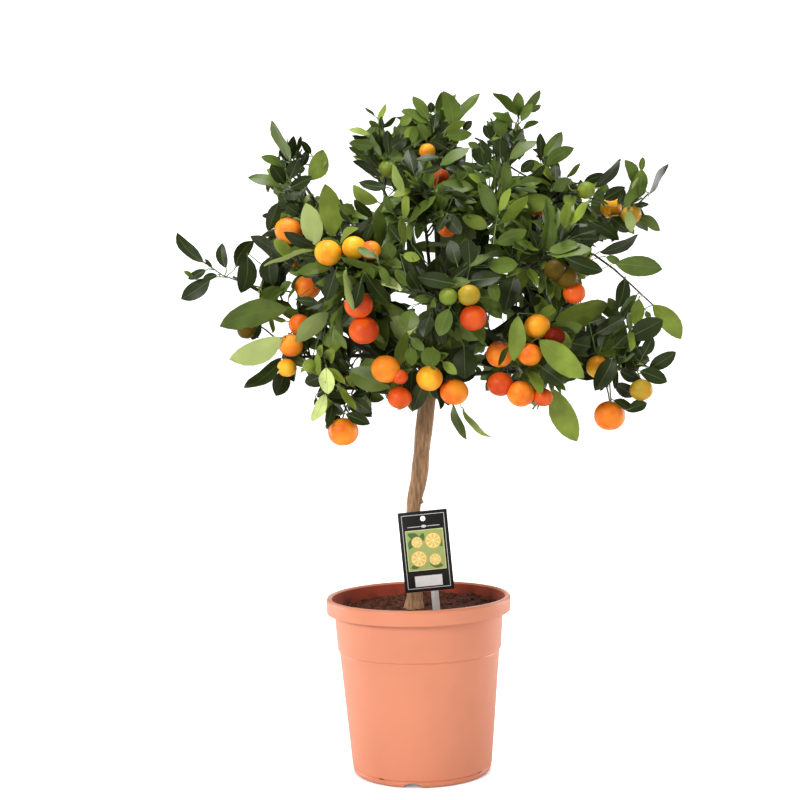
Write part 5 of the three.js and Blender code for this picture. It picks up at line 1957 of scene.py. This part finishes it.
class CITRUS_OT_foliage(bpy.types.Operator):
    """Grows twigs, leaf stalks and leaves in every mass, and hangs the fruit"""

    bl_idname = "citrus.foliage"
    bl_label = "Foliage and Fruit"

    def execute(self, context):
        crown = Crown(context.scene.citrus_plant)
        self.leaves(context.scene.citrus_plant, crown)
        self.twigs(crown)
        self.fruit(context.scene.citrus_fruit, crown)
        return {"FINISHED"}

    def leaves(self, plant, crown):
        usual = leaf_template(LEAF_STATIONS, LEAF_PROFILE)
        clear = leaf_template(CLEAR_STATIONS, CLEAR_PROFILE)
        colours = (plant.dark_leaf, plant.mid_leaf, plant.light_leaf, plant.new_leaf,
                   plant.light_leaf)
        for tone, colour in zip(TONES, colours):
            parts = []
            for leaf in crown.leaves:
                if leaf["tone"] == tone:
                    template = usual if leaf["bow"] is None else clear
                    parts.append((leaf_points(leaf, template), *template[-2:]))
            materials = leaf_materials(tone, colour)
            piece = joined_object(f"leaves_{tone}", parts, materials, sharp=22)

    def twigs(self, crown):
        parts = []
        for path, root, tip, kind in crown.twigs:
            sides, steps, slot = TWIG_KINDS[kind]
            parts.append((*tube(path, root, tip, sides, steps), slot))
        woody = toned_material("twig bark", linear(74, 78, 40), linear(50, 50, 28), 200, 0.6,
                               (500, 0.2, 0.0003))
        stalk = toned_material("leaf stalk", linear(96, 116, 54), linear(76, 96, 44), 200, 0.5,
                               (500, 0.1, 0.0002))
        piece = joined_object("twigs", parts, [woody, stalk], sharp=60)
        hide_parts(*[f"foliage_{mass.name}" for mass in crown.masses])

    def fruit(self, settings, crown):
        points, faces = self.fruit_template(settings.squash)
        star, star_faces = self.calyx_template()
        draw = seeded(9311)
        kinds = {ripe: [] for ripe in SECOND_TONES}
        calyxes = []
        for at, width, ripe, node in crown.fruits:
            top = at + Vector((0, 0, width * FRUIT_CROWN))
            axis = (UP + 0.45 * (node - top).normalized()).normalized()
            axis += Vector((draw() - 0.5, draw() - 0.5, 0)) * 0.3
            turn = axis.normalized().to_track_quat("Z", "Y").to_matrix()
            turn = np.array(turn @ Matrix.Rotation(FULL_TURN * draw(), 3, "Z"))
            own = np.array([1 + 0.06 * (draw() - 0.5), 1 + 0.06 * (draw() - 0.5), 1])
            kinds[ripe].append(((points * own * width) @ turn.T + np.array(at), faces, 0))
            seat = np.array([0, 0, width * (settings.squash * 0.5 * 0.9 - 0.005)])
            shape = star * (2.2 + 0.05 * width) + seat
            calyxes.append((shape @ turn.T + np.array(at), star_faces, 0))
        for ripe, parts in kinds.items():
            peel = toned_material(f"{ripe} peel", getattr(settings, ripe),
                                  linear(*SECOND_TONES[ripe]), 38, 0.44, (900, 0.35, 0.0004),
                                  low=0.42, high=0.62,
                                  Specular_IOR_Level=0.1 if ripe in SHADED else 0.3)
            piece = joined_object(f"fruit_{ripe}", parts, [peel])
        green = toned_material("calyx green", linear(92, 110, 52), linear(120, 124, 70), 300,
                               0.6, (600, 0.2, 0.0003))
        piece = joined_object("fruit_calyxes", calyxes, [green], sharp=40)

    def fruit_template(self, squash):
        """A ball a little flattened, with faint lobes and a dimple at each end."""
        ball = bmesh.new()
        bmesh.ops.create_uvsphere(ball, u_segments=28, v_segments=18, radius=0.5)
        for vert in ball.verts:
            out = math.hypot(vert.co.x, vert.co.y)
            dimple = math.exp(-((out / 0.1) ** 2))
            vert.co.z *= squash * (1 - (0.1 if vert.co.z > 0 else 0.05) * dimple)
            lobes = 1 + 0.008 * math.cos(8 * math.atan2(vert.co.y, vert.co.x))
            vert.co.x *= lobes
            vert.co.y *= lobes
        return template_of(ball)

    def calyx_template(self):
        """A five-pointed star with a short neck."""
        bm = bmesh.new()
        made = bmesh.ops.create_circle(bm, cap_ends=True, segments=10, radius=1)["verts"]
        for i, vert in enumerate(made):
            if i % 2:
                vert.co *= 0.62
            else:
                vert.co.z -= 0.12
        face = bm.faces[:][0]
        neck = bmesh.ops.extrude_discrete_faces(bm, faces=[face])["faces"][0]
        for vert in neck.verts:
            vert.co = vert.co * 0.42 + Vector((0, 0, 0.3))
        lower = bmesh.ops.extrude_face_region(bm, geom=bm.faces[:])["geom"]
        moved = [item for item in lower if isinstance(item, bmesh.types.BMVert)]
        bmesh.ops.translate(bm, verts=moved, vec=(0, 0, 0.16))
        bmesh.ops.recalc_face_normals(bm, faces=bm.faces[:])
        return template_of(bm)


# ---------------------------------------------------------------- stage

FLOOR = {"front": -3.5, "run": 9, "flat": 3, "bend": 1.2, "half_width": 5}
# Each light: place in metres, width, and its share of the main light's power.
LIGHTS = {
    "key": ((-1.6, -2.1, 1.5), 1.0, 1.05), "fill": ((1.8, -1.8, 0.9), 1.3, 0.26),
    "top": ((-0.1, -0.3, 2.3), 1.0, 0.8), "back": ((0.4, 2.1, 1.5), 1.6, 0.4),
    "left": ((-1.9, 1.0, 0.5), 1.2, 0.5), "right": ((1.9, 1.0, 0.5), 1.2, 0.5),
}
WHITE = (1, 1, 1, 1)
AIM = 0.8                # the height that the lights face, of the crown's heart
FLOOR_LIGHT = 0.1        # how strongly the floor lights the tree
# The floor's glow is darkened by ambient occlusion near the pot: a painted contact shadow.
CONTACT = 9              # how far from the pot's foot the floor darkens, in mm


def seen_white(tree, strength):
    """A strength of one where the camera looks, and less as light on the tree."""
    direct = add(tree, "LightPath")["Is Camera Ray"]
    return add(tree, "MapRange", Value=direct, To_Min=strength)["Result"]


class CITRUS_OT_stage(bpy.types.Operator):
    """Sets the white studio: floor, surroundings, soft lights and the camera"""

    bl_idname = "citrus.stage"
    bl_label = "Stage"

    def execute(self, context):
        scene, settings = context.scene, context.scene.citrus_stage
        self.floor(scene)
        world = bpy.data.worlds.new("studio")
        world.use_nodes = True
        back = world.node_tree.nodes["Background"].inputs
        back["Color"].default_value = WHITE
        white = seen_white(world.node_tree, settings.sky_strength)
        feed(world.node_tree, back["Strength"], white)
        scene.world = world
        for name, (place, size, share) in LIGHTS.items():
            self.light(scene, f"{name}_light", Vector(place), size, settings.key_power * share)
        self.camera(scene, settings.lens)
        scene.view_settings.view_transform = "Standard"
        return {"FINISHED"}

    def floor(self, scene):
        """A sheet that runs flat under the pot and curves up far behind it."""
        bm = bmesh.new()
        verts = bmesh.ops.create_grid(bm, x_segments=2, y_segments=60, size=1)["verts"]
        flat, bend = FLOOR["flat"], FLOOR["bend"]
        for vert in verts:
            run = (vert.co.y + 1) / 2 * FLOOR["run"] + FLOOR["front"]
            past = max(0, run - flat)
            turn = min(past / bend, math.pi / 2)
            rise = bend * (1 - math.cos(turn)) + max(0, past - bend * math.pi / 2)
            vert.co = (vert.co.x * FLOOR["half_width"], min(run, flat) + bend * math.sin(turn),
                       rise - 0.3 * MM)
        mesh = as_mesh(bm, "studio_floor")
        material, tree, surface = plain_material("studio white", 0.9, Specular_IOR_Level=0.1)
        surface["Base Color"].default_value = (0.8, 0.8, 0.8, 1)
        surface["Emission Color"].default_value = WHITE
        # Painted contact shadow: ambient occlusion darkens the floor's glow round the pot's foot.
        painted_contact_shadow = add(tree, "AmbientOcclusion", samples=8, Distance=CONTACT * MM)["AO"]
        glow = math_node(tree, "MULTIPLY", seen_white(tree, FLOOR_LIGHT), painted_contact_shadow)
        feed(tree, surface["Emission Strength"], glow)
        mesh.materials.append(material)
        mesh.shade_smooth()
        floor = bpy.data.objects.new("studio_floor", mesh)
        scene.collection.objects.link(floor)

    def light(self, scene, name, place, size, power):
        lamp = bpy.data.lights.new(name, "AREA")
        lamp.shape = "DISK"
        lamp.size = size
        lamp.energy = power
        holder = bpy.data.objects.new(name, lamp)
        holder.location = place
        aim = CROWN_HEART * MM * AIM - place
        holder.rotation_euler = aim.to_track_quat("-Z", "Y").to_euler()
        scene.collection.objects.link(holder)

    def camera(self, scene, focal):
        lens = bpy.data.cameras.new("front")
        lens.sensor_width = VIEW["sensor"]
        lens.lens = focal
        holder = bpy.data.objects.new("front", lens)
        tilt = Matrix.Rotation(math.radians(90 - VIEW["pitch"]), 3, "X")
        roll = Matrix.Rotation(-math.radians(VIEW["roll"]), 3, "Z")
        holder.rotation_euler = (tilt @ roll).to_euler()
        holder.location = VIEW_PLACE * MM
        scene.collection.objects.link(holder)
        scene.camera = holder


# ---------------------------------------------------------------- panel and registration


class CITRUS_PT_tree(bpy.types.Panel):
    """Settings and buttons for each group of pieces"""

    bl_idname = "CITRUS_PT_tree"
    bl_label = "Calamondin Orange Tree"
    bl_space_type = "VIEW_3D"
    bl_region_type = "UI"
    bl_category = "Citrus"

    def draw(self, context):
        for holder, operators in PANEL_ROWS:
            box = self.layout.box()
            settings = getattr(context.scene, holder)
            for name in settings.bl_rna.properties.keys():
                if name not in ("rna_type", "name"):
                    box.prop(settings, name)
            for operator in operators:
                box.operator(operator.bl_idname)


SETTINGS = {
    "citrus_pot": PotSettings, "citrus_plant": PlantSettings, "citrus_fruit": FruitSettings,
    "citrus_label": LabelSettings, "citrus_stage": StageSettings,
}
OPERATORS = [
    CITRUS_OT_stage, CITRUS_OT_pot, CITRUS_OT_compost, CITRUS_OT_label, CITRUS_OT_trunk,
    CITRUS_OT_boughs, CITRUS_OT_foliage,
]
PANEL_ROWS = [
    ("citrus_stage", [CITRUS_OT_stage]), ("citrus_pot", [CITRUS_OT_pot, CITRUS_OT_compost]),
    ("citrus_label", [CITRUS_OT_label]),
    ("citrus_plant", [CITRUS_OT_trunk, CITRUS_OT_boughs, CITRUS_OT_foliage]),
    ("citrus_fruit", []),
]


def register():
    for cls in (*SETTINGS.values(), *OPERATORS, CITRUS_PT_tree):
        bpy.utils.register_class(cls)
    for name, cls in SETTINGS.items():
        setattr(bpy.types.Scene, name, PointerProperty(type=cls))


def unregister():
    for name in SETTINGS:
        delattr(bpy.types.Scene, name)
    for cls in (CITRUS_PT_tree, *reversed(OPERATORS), *reversed(list(SETTINGS.values()))):
        bpy.utils.unregister_class(cls)


def main():
    register()
    for operator in OPERATORS:
        group, name = operator.bl_idname.split(".")
        getattr(getattr(bpy.ops, group), name)()


if __name__ == "__main__":
    main()
